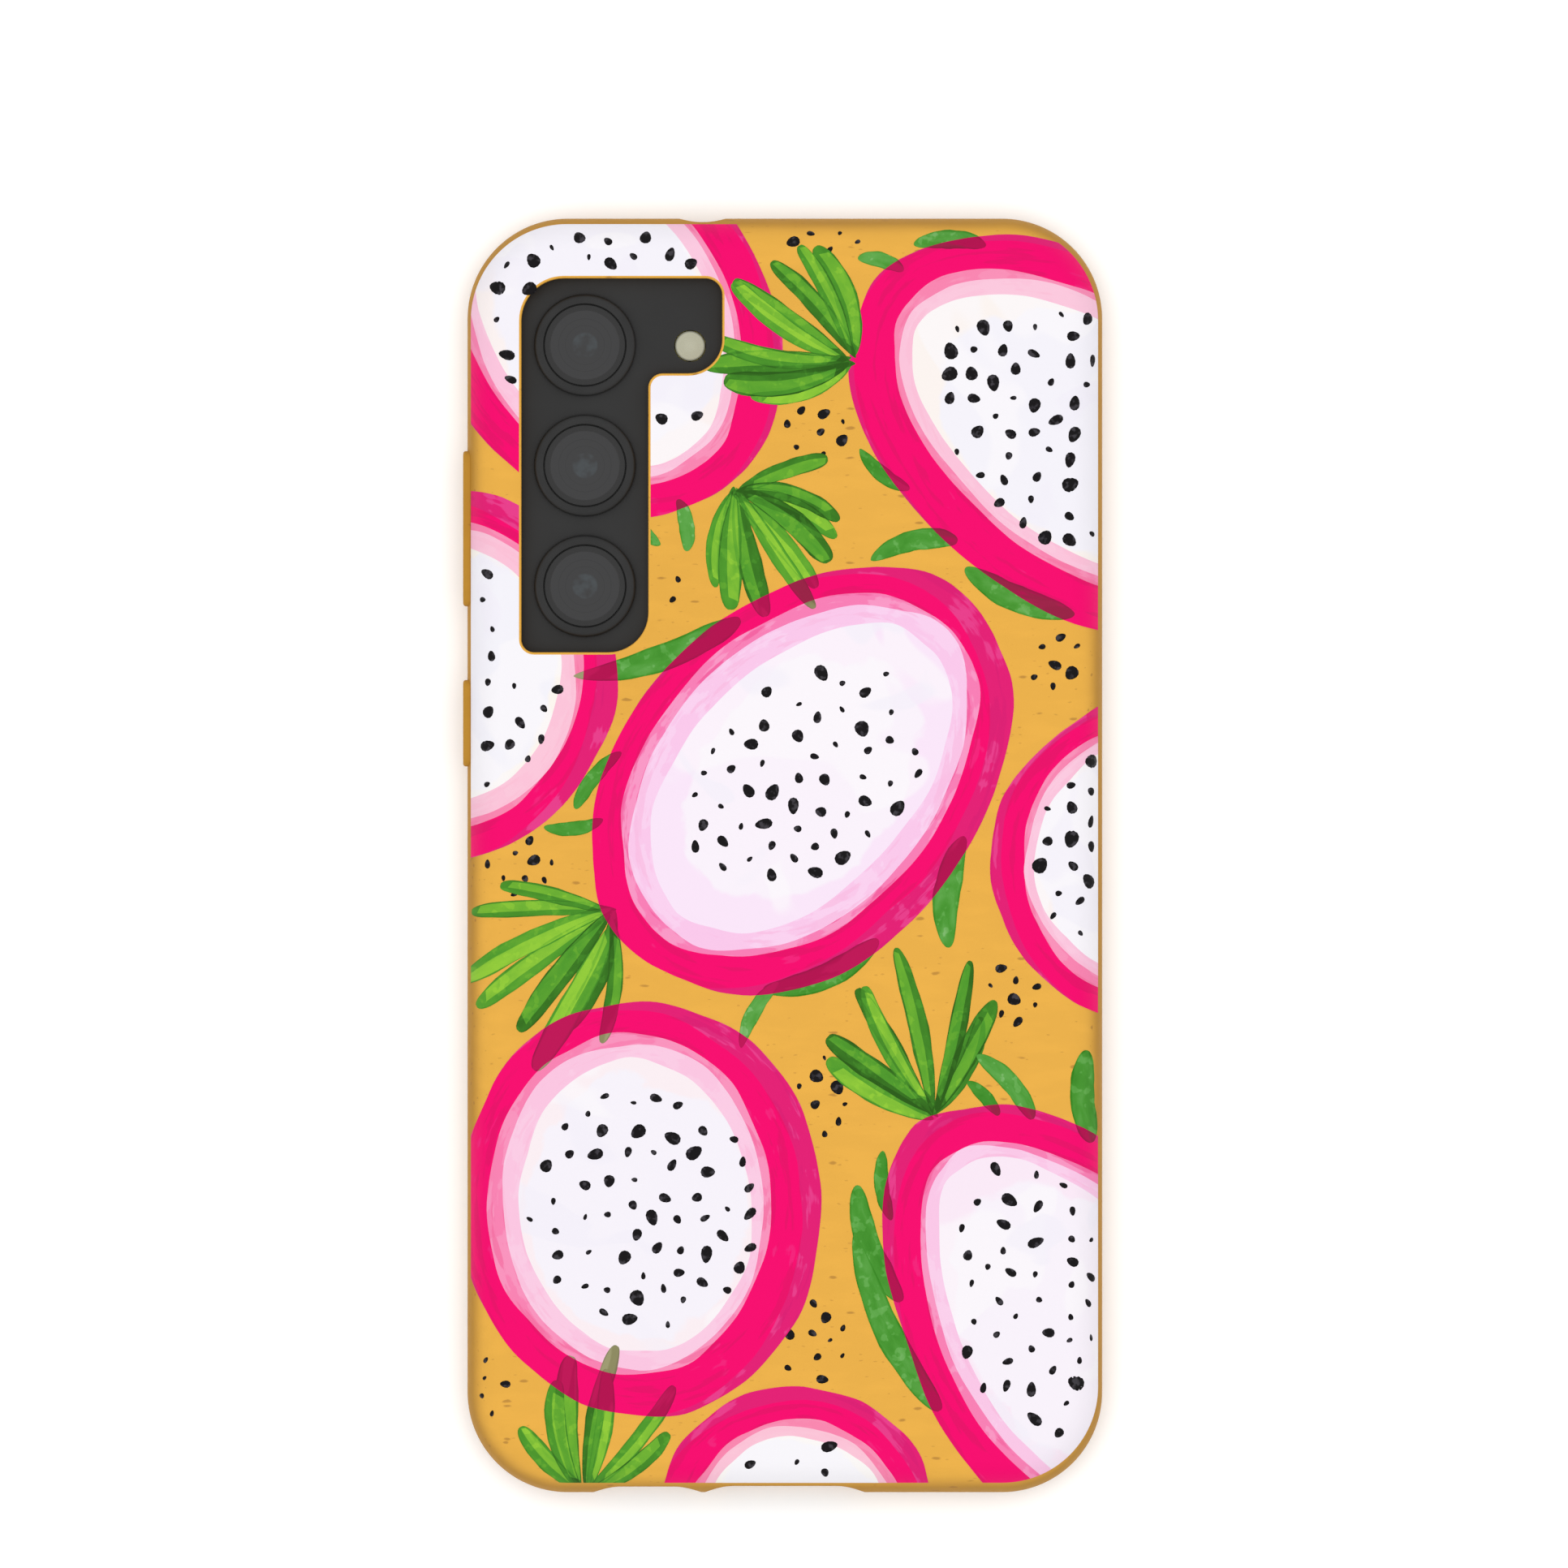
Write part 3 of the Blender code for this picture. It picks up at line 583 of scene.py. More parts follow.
def settle(piece):
    """Turns a piece and its modifiers into a plain mesh."""
    bpy.context.view_layer.update()
    evaluated = piece.evaluated_get(bpy.context.evaluated_depsgraph_get())
    plain = bpy.data.meshes.new_from_object(evaluated)
    piece.modifiers.clear()
    piece.data = plain
    plain.name = piece.name
    return piece


def combine(piece, operation, *tools):
    """Applies a Boolean with each tool and then removes the tools."""
    for other in tools:
        modifier = piece.modifiers.new(f"{operation.title()} {other.name}", "BOOLEAN")
        modifier.operation = operation
        modifier.solver = "EXACT"
        modifier.object = other
    settle(piece)
    for other in tools:
        bpy.data.objects.remove(other)
    piece.data.shade_smooth()
    piece.data.set_sharp_from_angle(angle=radians(35))
    return piece


# ---------------------------------------------------------------- the case


def case_section():
    """(inset, z) from the middle of the back, round the outside and the lip, to the cavity's roof."""
    back = CASE_HEIGHT - PRINT_HEIGHT
    outside = [(inset, back - drop) for inset, drop in quarter_round(BACK_EDGE, HALF_HEIGHT, 26)]
    under = quarter_round(LIP_EDGE, HALF_HEIGHT, 18)
    lip_edge = CASE_WALL + LIP_REACH
    lip = [(LIP_EDGE + 0.75, 0), (LIP_EDGE + 0.92, 0.06), (lip_edge, 0.25), (lip_edge, LIP_HEIGHT - CASE_FIT)]
    wall = CASE_WALL - CASE_FIT
    low, high = LIP_HEIGHT - CASE_FIT, REAR_GLASS_TOP + CASE_FIT
    turn = quarter_round(0.9, 1.6, 6)
    cavity = [(wall + inset, low + drop) for inset, drop in turn]
    cavity += [(wall + inset, high - drop) for inset, drop in reversed(turn)]
    return outside + under[-2::-1] + lip + cavity


def tunnel(name, x, z, half_width, half_height, y_face, depth, flare, material):
    """A cutter with round ends along Y whose mouth flares out at the case's face."""
    way = 1 if y_face > 0 else -1
    rings = []
    stations = [(1.6, flare), (-0.1, flare)]
    stations += [(-0.1 - drop, inset) for inset, drop in quarter_round(flare, 0.9, 6)[::-1]][1:]
    stations.append((-depth, 0))
    for out, grow in stations:
        wide, tall = half_width + grow, half_height + grow
        outline = rounded_rectangle(wide, tall, min(wide, tall) * 0.999, steps=14)
        rings.append([(x + way * u, y_face + way * out, z + v) for u, v in outline])
    return stack(name, rings, material)


def key_cover(name, middle, length, material):
    """The pad moulded over one key, with a rounded rim."""
    outer = -CASE_HALF[0] - 0.5
    half_height = 2.1
    rings = []
    for shrink, depth in ((0, 1.6), (0, 0.28), (0.05, 0.14), (0.15, 0.04), (0.32, 0.0)):
        x = outer + depth
        outline = rounded_rectangle(length / 2 - shrink, half_height - shrink, 1.0 - shrink * 0.8, steps=8)
        rings.append([(x, middle - u, PORT_LEVEL + 0.2 + v) for u, v in outline])
    return stack(name, rings, material)


def make_case(material):
    rings = []
    for inset, z in case_section()[::-1]:
        outline = rounded_rectangle(CASE_HALF[0] - inset, CASE_HALF[1] - inset, CASE_CORNER - inset)
        rings.append(at_height(outline, z))
    case = stack("case", rings, material)
    levels = [(CASE_HEIGHT - 2.4, 0)]
    levels += [(CASE_HEIGHT - 0.02 - drop, inset) for inset, drop in quarter_round(0.18, 0.3, 6)[::-1]]
    levels.append((CASE_HEIGHT + 1, 0.18))
    window = [at_height(camera_window(grow), z) for z, grow in levels]
    face = CASE_HALF[1]
    cutters = [
        stack("window_cutter", [ring[::-1] for ring in window][::-1], material),
        tunnel("plug_cutter", 0, PORT_LEVEL, 9.1, 3.2, -face, 3.2, 0.4, material),
        tunnel("speaker_cutter", -16.2, PORT_LEVEL, 6.05, 3.0, -face, 3.2, 0.4, material),
        tunnel("microphone_cutter", -9.7, PORT_LEVEL, 2.5, 2.4, face, 3.2, 0.3, material),
    ]
    pads = [key_cover(f"{key}_pad", *place, material) for key, place in KEYS.items()]
    combine(case, "UNION", *pads)
    combine(case, "DIFFERENCE", *cutters)
    fit(case, "case_shell")


# ---------------------------------------------------------------- the print


def on_back(points, height):
    """Places flat (x, y) points on the case's rounded back, raised by height along its normal."""
    flat = np.asarray(points, float)
    reach = np.abs(flat) - (np.array(CASE_HALF) - CASE_CORNER)
    beyond = np.maximum(reach, 0)
    length = np.linalg.norm(beyond, axis=1)
    signed = length + np.minimum(reach.max(axis=1), 0) - CASE_CORNER
    axis = np.where(reach[:, :1] > reach[:, 1:], [[1.0, 0.0]], [[0.0, 1.0]])
    around = np.where(length[:, None] > 0, beyond / np.maximum(length, 1e-9)[:, None], axis) * np.sign(flat)
    lean = np.clip(1 + signed / BACK_EDGE, 0, 1)
    rise = np.sqrt(1 - lean**2)
    normal = np.column_stack([around * (lean / BACK_EDGE)[:, None], rise / HALF_HEIGHT])
    normal /= np.linalg.norm(normal, axis=1)[:, None]
    z = CASE_HEIGHT - PRINT_HEIGHT - HALF_HEIGHT * (1 - rise)
    return np.column_stack([flat, z]) + normal * height


def wobble(rng, size, rounds=(2, 3, 4, 5, 7, 9, 13)):
    """A closed hand-drawn unevenness round a shape: a sum of waves with chance phases."""
    waves = [(k, size * rng.uniform(0.4, 1.0) / sqrt(k), rng.uniform(0, 2 * pi)) for k in rounds]
    return lambda angle: sum(height * cos(k * angle + phase) for k, height, phase in waves)


class Slice:
    """A cut fruit: an egg-shaped outline with a rind, two rings and the flesh inside it."""

    ZONES = ("rind", "pink_ring", "pale_ring", "flesh")

    def __init__(self, seed, centre, half, turn, widths, shift, egg, wash, warm, bare=0.0):
        self.centre, self.half, self.turn = np.array(centre, float), half, radians(turn)
        self.widths, self.shift, self.egg = widths, np.array(shift, float), egg
        self.wash, self.warm, self.bare = wash, warm, bare
        self.rng = random.Random(seed)
        self.outlines = [self.outline(zone) for zone in range(4)]

    def outline(self, zone, steps=150):
        """Points round the outside of one zone; the inner ones are shifted, so that the rings vary."""
        inset = sum(self.widths[:zone])
        share = (0, 1, 0.7, 0.45)[zone]
        middle = self.centre + self.shift * share
        uneven = wobble(self.rng, 0.36)
        rough = wobble(self.rng, 0.07, (17, 23, 31, 47))
        points = []
        for step in range(steps):
            a = 2 * pi * step / steps
            along = (self.half[0] - inset) * cos(a)
            narrow = 1 - self.egg * cos(a)
            across = (self.half[1] - inset) * sin(a) * narrow
            grow = 1 + (uneven(a) + rough(a)) / self.half[1]
            x = (along * cos(self.turn) - across * sin(self.turn)) * grow
            y = (along * sin(self.turn) + across * cos(self.turn)) * grow
            points.append((middle[0] + x, middle[1] + y))
        return points

    def depth(self, points):
        """How far inside the outline each point is, in millimetres."""
        away = points - self.centre
        along = away @ [cos(self.turn), sin(self.turn)]
        across = away @ [-sin(self.turn), cos(self.turn)]
        ratio = np.clip(along / self.half[0], -1, 1)
        across = across / (1 - self.egg * ratio)
        reach = np.sqrt((along / self.half[0]) ** 2 + (across / self.half[1]) ** 2)
        return (1 - reach) * min(self.half)

    def edge_point(self, bearing, share=1.0):
        """The point of the outline that lies in this direction from the centre."""
        best = min(self.outlines[0], key=lambda p: abs(angle_between(bearing, self.bearing_of(p))))
        return self.centre + (np.array(best) - self.centre) * share

    def bearing_of(self, point):
        return degrees(atan2(point[1] - self.centre[1], point[0] - self.centre[0]))

    def values(self, points, zone):
        """Brush coordinates, which run round the slice, and marks: wash or warmth, depth, room for seeds."""
        away = points - self.centre
        angle = np.arctan2(away[:, 1], away[:, 0])
        depth = self.depth(points)
        mean = sum(self.half) / 2
        brush = np.column_stack([np.cos(angle) * mean, np.sin(angle) * mean, depth])
        washed = self.wash[1] * np.clip(0.3 + np.cos(angle - radians(self.wash[0])), 0, 1)
        tone = washed if zone == 0 else np.full(len(points), self.warm)
        room = depth - sum(self.widths) - self.bare
        return brush + self.centre.sum(), np.column_stack([tone, depth, room])


def angle_between(first, second):
    return (first - second + 180) % 360 - 180


class Stroke:
    """One leaf: a brush stroke along a bent line, round at its root and drawn out at its tip."""

    def __init__(self, root, bearing, length, width, bend, tone, tuft, solid, number, taper):
        self.root, self.length, self.width = np.array(root, float), length, width
        self.tone, self.tuft, self.solid, self.number = tone, tuft, solid, number
        self.taper, self.rng = taper, random.Random(number)
        first = np.array([cos(radians(bearing)), sin(radians(bearing))])
        last = np.array([cos(radians(bearing + bend)), sin(radians(bearing + bend))])
        t = (1 - np.cos(np.linspace(0, pi, 25))) / 2
        self.t = t
        joint = self.root + first * length * 0.5
        tip = joint + last * length * 0.5
        self.line = np.outer((1 - t) ** 2, self.root) + np.outer(2 * t * (1 - t), joint) + np.outer(t**2, tip)

    def half_width(self, t):
        root, tip = self.taper
        widest = root / (root + tip)
        shape = np.maximum(t, 1e-4) ** root * np.maximum(1 - t, 1e-4) ** tip
        return self.width / 2 * shape / (widest**root * (1 - widest) ** tip)

    def outline(self, inner=False):
        """Points round the leaf, or round the lighter stroke laid inside it and to one side."""
        direction = np.gradient(self.line, axis=0)
        direction /= np.linalg.norm(direction, axis=1)[:, None]
        side = np.column_stack([-direction[:, 1], direction[:, 0]])
        shape, middle = self.half_width(self.t), self.line
        if inner:
            middle = middle + side * (shape * self.rng.choice((-0.3, 0.3)))[:, None]
            shape = shape * self.rng.uniform(0.42, 0.6)
        edges = []
        for way in (1, -1):
            uneven = wobble(self.rng, 0.06, (1, 2, 3, 5))
            edges.append(middle + side * (way * shape * [1 + uneven(t * pi * 2) for t in self.t])[:, None])
        ends = (0, len(self.t))
        if inner:
            ends = (self.rng.randint(3, 6), len(self.t) - self.rng.randint(2, 5))
        left, right = (edge[ends[0] : ends[1]] for edge in edges)
        return [tuple(p) for p in right[:-1]] + [tuple(p) for p in left[:0:-1]]

    def values(self, points, tone):
        """Brush coordinates, which run along the leaf, and marks: way along, way across and tone."""
        start, end = self.line[:-1], self.line[1:]
        run = end - start
        ahead = ((points[:, None] - start) * run).sum(2) / (run**2).sum(1)
        ahead = np.clip(ahead, 0, 1)
        nearest = start + ahead[:, :, None] * run
        gap = points[:, None] - nearest
        pick = (gap**2).sum(2).argmin(1)
        rows = np.arange(len(points))
        away, way = gap[rows, pick], run[pick]
        t = self.t[pick] + ahead[rows, pick] * (self.t[pick + 1] - self.t[pick])
        turn = way[:, 0] * away[:, 1] - way[:, 1] * away[:, 0]
        side = turn / np.linalg.norm(way, axis=1)
        across = np.clip(side / np.maximum(self.half_width(t), 0.05), -1, 1)
        brush = np.column_stack([t * self.length, side, np.full(len(points), self.number * 3.7)])
        return brush, np.column_stack([t, across, np.full(len(points), tone)])


def make_slices():
    return [
        Slice(11, (-21.3, 62.6), (24.5, 19.5), -58, (4.1, 1.0, 1.4), (-0.3, 0.2), 0.04, (0, 0.25), 0.7),
        Slice(12, (34.5, 50.0), (30.0, 20.2), -35, (4.8, 1.0, 1.7), (0.5, 0.2), -0.08, (60, 0.2), 0.8),
        Slice(13, (-40.4, 21.4), (20.6, 22.0), 0, (3.7, 0.8, 2.2), (-0.2, 0.0), 0.0, (20, 0.75), 0.9),
        Slice(14, (2.2, 9.0), (28.7, 20.7), 46, (3.8, 1.1, 2.4), (-0.5, 0.6), 0.03, (-15, 0.8), 0.0, 1.3),
        Slice(15, (43.5, -0.6), (19.0, 19.2), 0, (3.0, 0.8, 1.2), (0.3, 0.0), 0.0, (150, 0.3), 0.7),
        Slice(16, (-16.9, -41.5), (24.7, 21.2), 94, (4.5, 1.1, 1.9), (-1.4, 0.5), 0.0, (20, 0.75), 0.5, 0.2),
        Slice(17, (33.5, -55.2), (29.2, 19.2), -58, (4.1, 0.9, 1.6), (0.3, -0.4), -0.1, (110, 0.3), 0.2),
        Slice(18, (1.2, -79.0), (16.8, 16.4), 0, (3.9, 0.9, 1.1), (0.0, 0.1), 0.0, (60, 0.5), 1.0),
    ]


def make_strokes(slices):
    """Crowns of long leaves, then the short curled scales round the slices."""
    rng = random.Random(404)
    strokes = []
    tufts = [
        ((7.9, 58.4), 158, 140, 9, 17.5, True),
        ((-6.0, 43.0), -44, 146, 9, 16.0, False),
        ((-20.4, -6.8), 222, 118, 8, 19.0, False),
        ((17.6, -30.6), 104, 118, 8, 19.0, False),
        ((-23.6, -75.0), 84, 118, 7, 16.5, False),
    ]
    for tuft, (root, mean, spread, count, length, solid) in enumerate(tufts):
        order = list(range(count))
        rng.shuffle(order)
        for leaf in order:
            share = leaf / (count - 1) - 0.5
            bearing = mean + spread * share + rng.uniform(-6, 6)
            reach = length * (1.06 - 1.1 * share**2) * rng.uniform(0.86, 1.08)
            start = (root[0] + rng.uniform(-0.6, 0.6), root[1] + rng.uniform(-0.6, 0.6))
            width = rng.uniform(1.9, 3.1) * (reach / length) ** 0.5
            bend = -share * 70 + rng.uniform(-26, 26)
            tone, taper = rng.uniform(0.14, 0.6), (0.6, rng.uniform(0.3, 0.42))
            number = len(strokes)
            strokes.append(Stroke(start, bearing, reach, width, bend, tone, tuft, solid, number, taper))
    scales = [
        (3, 112, 214, 21.5, 3.6, -30),
        (3, 171, 214, 9.0, 2.1, 34),
        (3, 192, 208, 7.5, 1.9, -41),
        (3, -21, 243, 14.0, 3.5, 38),
        (3, -66, 226, 16.0, 3.4, -45),
        (3, -96, 220, 9.5, 2.0, 41),
        (1, 199, 160, 8.0, 2.1, -38),
        (1, 222, 168, 11.5, 2.9, 49),
        (1, 268, 172, 14.5, 3.6, -30),
        (1, 137, 142, 6.0, 2.1, 45),
        (1, 117, 160, 9.0, 2.5, 38),
        (0, -68, -60, 6.6, 2.1, -41),
        (0, -82, -62, 6.0, 2.0, 30),
        (6, 100, 112, 10.6, 2.6, 38),
        (6, 84, 110, 11.4, 3.4, -34),
        (6, 108, 118, 5.6, 1.8, 30),
        (6, 150, 114, 8.6, 2.0, -34),
        (6, 172, 130, 15.5, 3.4, -38),
        (6, 212, 131, 24.0, 3.7, -30),
    ]
    for host, bearing, way, length, width, bend in scales:
        root = slices[host].edge_point(bearing, 0.95)
        tone, number = rng.uniform(2.25, 2.6), len(strokes)
        taper = (rng.uniform(0.4, 0.55), rng.uniform(0.45, 0.65))
        shape = (root, way, length, SCALE_WIDTH * width, bend, tone)
        strokes.append(Stroke(*shape, FIRST_LONE_TUFT + number, False, number, taper))
    return strokes


LOOSE_SEEDS = [
    (5.2, 73.0, 4.6, 2.2),
    (3.6, 50.0, 3.6, 3.0),
    (-14.0, 31.5, 2.6, 1.8),
    (32.6, 22.6, 3.8, 3.2),
    (-31.6, -1.4, 4.6, 3.4),
    (26.8, -16.4, 3.4, 3.6),
    (4.4, -28.4, 3.0, 5.4),
    (3.2, -57.4, 4.0, 5.0),
    (-35.2, -63.4, 2.4, 4.6),
]


def lay_out_print(slices, strokes):
    """Cuts every outline of the print against the others.

    Returns the points, the triangles and, for each triangle, the labels of the outlines it lies in.
    """
    points, edges, loops, labels = [], [], [], []

    def outline(kind, shape):
        first = len(points)
        points.extend(shape)
        loops.append(list(range(first, len(points))))
        labels.append(kind)

    x0, x1, y0, y1 = PRINT_AREA
    middle = ((x0 + x1) / 2, (y0 + y1) / 2)
    sheet = rounded_rectangle((x1 - x0) / 2, (y1 - y0) / 2, PRINT_CORNER)
    outline(("area",), [(x + middle[0], y + middle[1]) for x, y in sheet])
    outline(("window",), camera_window(PRINT_TO_WINDOW))
    for number, fruit in enumerate(slices):
        for zone, shape in enumerate(fruit.outlines):
            outline(("slice", number, zone), shape)
    for number, stroke in enumerate(strokes):
        outline(("stroke", number), stroke.outline())
        if stroke.tuft < FIRST_LONE_TUFT:
            outline(("inner", number), stroke.outline(inner=True))
    for number, (x, y, across, up) in enumerate(LOOSE_SEEDS):
        ring = [(x + across * cos(a), y + up * sin(a)) for a in np.linspace(0, 2 * pi, 20, endpoint=False)]
        outline(("seeds", number), ring)
    for inset, _ in quarter_round(BACK_EDGE, HALF_HEIGHT, 26):
        if 0.3 < inset:
            ring = rounded_rectangle(CASE_HALF[0] - inset, CASE_HALF[1] - inset, CASE_CORNER - inset)
            ring = divided(ring, LONGEST_EDGE)
            first = len(points)
            points.extend(ring)
            edges += [(first + i, first + (i + 1) % len(ring)) for i in range(len(ring))]
    rng = random.Random(7)
    for row in range(int(2 * CASE_HALF[1] / GRID_SPACING)):
        for column in range(int(2 * CASE_HALF[0] / GRID_SPACING)):
            x = -CASE_HALF[0] + (column + 0.5 + row % 2 * 0.5) * GRID_SPACING + rng.uniform(-0.3, 0.3)
            y = -CASE_HALF[1] + (row + 0.5) * GRID_SPACING + rng.uniform(-0.3, 0.3)
            if abs(x) < CASE_HALF[0] - GRID_MARGIN and abs(y) < CASE_HALF[1] - GRID_MARGIN:
                points.append((x, y))
    found = delaunay_2d_cdt([Vector(p) for p in points], edges, loops, 0, 1e-5, True)
    flat = np.array([tuple(p) for p in found[0]])
    faces, covers = [], []
    for face, sources in zip(found[2], found[5]):
        kinds = [labels[source] for source in sources]
        inside = any(kind[0] == "area" for kind in kinds) and not any(kind[0] == "window" for kind in kinds)
        if inside and len(face) == 3:
            (ax, ay), (bx, by), (cx, cy) = flat[list(face)]
            area = (bx - ax) * (cy - ay) - (by - ay) * (cx - ax)
            if abs(area) > 1e-7:
                faces.append(tuple(face) if area > 0 else tuple(face)[::-1])
                covers.append(kinds)
    return flat, np.array(faces), covers


def choose_inks(strokes, covers):
    """For each ink, which triangles it fills and which shape gives each of them its brush."""
    inks = {name: [] for name in (*Slice.ZONES, "leaves", "overlaps", "seed_bed")}
    for index, kinds in enumerate(covers):
        cut = [(kind[1], kind[2]) for kind in kinds if kind[0] == "slice"]
        top = max(cut) if cut else None
        leaves = sorted(kind[1] for kind in kinds if kind[0] == "stroke")
        if leaves:
            number = leaves[-1]
            stroke = strokes[number]
            partners = [n for n in leaves[:-1] if strokes[n].tuft == stroke.tuft]
            if top is None or stroke.solid:
                inner = [kind[1] for kind in kinds if kind[0] == "inner"]
                tone = stroke.tone - CROSSING_SHADE * min(len(partners), 2) + INNER_LIGHT * (number in inner)
                tone += CROSSED_LIGHT * any(n in inner for n in partners)
                inks["leaves"].append((index, ("stroke", number, tone)))
            else:
                inks["overlaps"].append((index, ("stroke", number, (0.0, 0.7, 0.85, 1.0)[top[1]])))
        elif top:
            inks[Slice.ZONES[top[1]]].append((index, ("slice", *top)))
        elif any(kind[0] == "seeds" for kind in kinds):
            inks["seed_bed"].append((index, None))
    return inks


def room_to_edges(points):
    """How far each point lies inside the printed area and outside the camera window."""
    x0, x1, y0, y1 = PRINT_AREA
    half = np.array([(x1 - x0) / 2, (y1 - y0) / 2])
    reach = np.abs(points - [(x0 + x1) / 2, (y0 + y1) / 2]) - (half - PRINT_CORNER)
    beyond = np.linalg.norm(np.maximum(reach, 0), axis=1)
    inside = PRINT_CORNER - beyond - np.minimum(reach.max(axis=1), 0)
    start = np.array(camera_window(PRINT_TO_WINDOW))
    run = np.roll(start, -1, axis=0) - start
    away = points[:, None] - start
    ahead = np.clip((away * run).sum(2) / np.maximum((run**2).sum(1), 1e-12), 0, 1)
    gap = np.linalg.norm(away - ahead[:, :, None] * run, axis=2).min(1)
    return np.minimum(inside, gap)


def film(name, flat, faces, chosen, slices, strokes, material, seed_margin=None):
    """A closed film of ink over its triangles, with its brush and marks on every corner."""
    wanted = faces[[index for index, _ in chosen]]
    used, local = np.unique(wanted, return_inverse=True)
    local = local.reshape(-1, 3)
    brush = np.zeros((len(wanted), 3, 3))
    marks = np.zeros((len(wanted), 3, 3))
    groups = {}
    for row, (_, source) in enumerate(chosen):
        groups.setdefault(source, []).append(row)
    for source, rows in groups.items():
        if source is None:
            marks[rows, :, 2] = 1
            continue
        corners = flat[wanted[rows]].reshape(-1, 2)
        if source[0] == "slice":
            first, second = slices[source[1]].values(corners, source[2])
        else:
            first, second = strokes[source[1]].values(corners, source[2])
        brush[rows] = first.reshape(-1, 3, 3)
        marks[rows] = second.reshape(-1, 3, 3)
    if seed_margin is not None:
        free = room_to_edges(flat[wanted].reshape(-1, 2)) - seed_margin
        marks[:, :, 2] = np.minimum(marks[:, :, 2], free.reshape(-1, 3))
    top = on_back(flat[used], PRINT_THICKNESS)
    bottom = on_back(flat[used], -PRINT_SINK)
    count = len(used)
    owner = {}
    for row, (a, b, c) in enumerate(local):
        for side, pair in enumerate(((a, b), (b, c), (c, a))):
            owner[pair] = (row, side)
    polygons = [tuple(face) for face in local] + [tuple(face[::-1] + count) for face in local]
    corner_brush = [brush.reshape(-1, 3), brush[:, ::-1].reshape(-1, 3)]
    corner_marks = [marks.reshape(-1, 3), marks[:, ::-1].reshape(-1, 3)]
    side_brush, side_marks = [], []
    for (a, b), (row, side) in owner.items():
        if (b, a) not in owner:
            polygons.append((a + count, b + count, b, a))
            order = [side, (side + 1) % 3, (side + 1) % 3, side]
            side_brush.append(brush[row, order])
            side_marks.append(marks[row, order])
    corner_brush.append(np.array(side_brush).reshape(-1, 3))
    corner_marks.append(np.array(side_marks).reshape(-1, 3))
    mesh = bpy.data.meshes.new(name)
    mesh.from_pydata((np.vstack([top, bottom]) * MM).tolist(), [], [list(map(int, p)) for p in polygons])
    for label, values in (("brush", corner_brush), ("marks", corner_marks)):
        layer = mesh.attributes.new(label, "FLOAT_VECTOR", "CORNER")
        layer.data.foreach_set("vector", np.vstack(values).astype(np.float32).ravel())
    mesh.materials.append(material)
    mesh.shade_smooth()
    mesh.set_sharp_from_angle(angle=radians(40))
    return new_object(name, mesh)


# ---------------------------------------------------------------- what repeats, by Geometry Nodes


def geometry_tree(name, inputs):
    """An empty geometry node tree with named inputs; returns it and its two end nodes."""
    geometry = "NodeSocketGeometry"
    inputs = {"Geometry": (geometry, None)} | inputs
    return node_group(name, "GeometryNodeTree", inputs, {"Geometry": geometry})


def end_tree(tree, instances, material, end):
    realized = add(tree, "GeometryNodeRealizeInstances", {"Geometry": instances}).outputs[0]
    smooth = add(tree, "GeometryNodeSetShadeSmooth", {0: realized}).outputs[0]
    dressed = add(tree, "GeometryNodeSetMaterial", {"Geometry": smooth, "Material": material}).outputs[0]
    tree.links.new(dressed, end.inputs[0])


def grow(name, host, tree, values):
    """Runs a tree on a host mesh with the given inputs and returns the result as a plain piece."""
    modifier = host.modifiers.new(name, "NODES")
    modifier.node_group = tree
    sockets = {item.name: item.identifier for item in tree.interface.items_tree if item.in_out == "INPUT"}
    for label, value in values.items():
        modifier[sockets[label]] = value
    host.update_tag()
    settle(host)
    host.name = host.data.name = name
    return host


def seed_shape(tree, size_socket):
    """A flat drop, blunt at one end, made from a low sphere."""
    ball = add(tree, "GeometryNodeMeshUVSphere", {"Segments": 12, "Rings": 5, "Radius": 0.5}).outputs[0]
    place = add(tree, "GeometryNodeInputPosition").outputs[0]
    x = part_of(tree, place, 0)
    height = times(tree, part_of(tree, place, 2), 2.0)
    kept = add(tree, "GeometryNodeStoreNamedAttribute", {"Geometry": ball, "Name": "height", "Value": height})
    narrow = minus(tree, 0.76, times(tree, x, 0.36))
    stretch = add(tree, "ShaderNodeCombineXYZ", {0: 1.0, 1: narrow, 2: 0.05}).outputs[0]
    shaped = vector_math(tree, "MULTIPLY", place, stretch)
    drop = add(tree, "GeometryNodeSetPosition", {"Geometry": kept.outputs[0], "Position": shaped}).outputs[0]
    scaled = add(tree, "GeometryNodeTransform", {"Geometry": drop})
    size = add(tree, "ShaderNodeCombineXYZ", {0: size_socket, 1: size_socket, 2: size_socket}).outputs[0]
    tree.links.new(size, scaled.inputs["Scale"])
    return scaled.outputs[0]


def chance_between(tree, seed, low, high):
    """A random number for each seed."""
    value = add(tree, "FunctionNodeRandomValue", {"Seed": seed}, data_type="FLOAT")
    value.inputs[2].default_value, value.inputs[3].default_value = low, high
    return value.outputs[1]


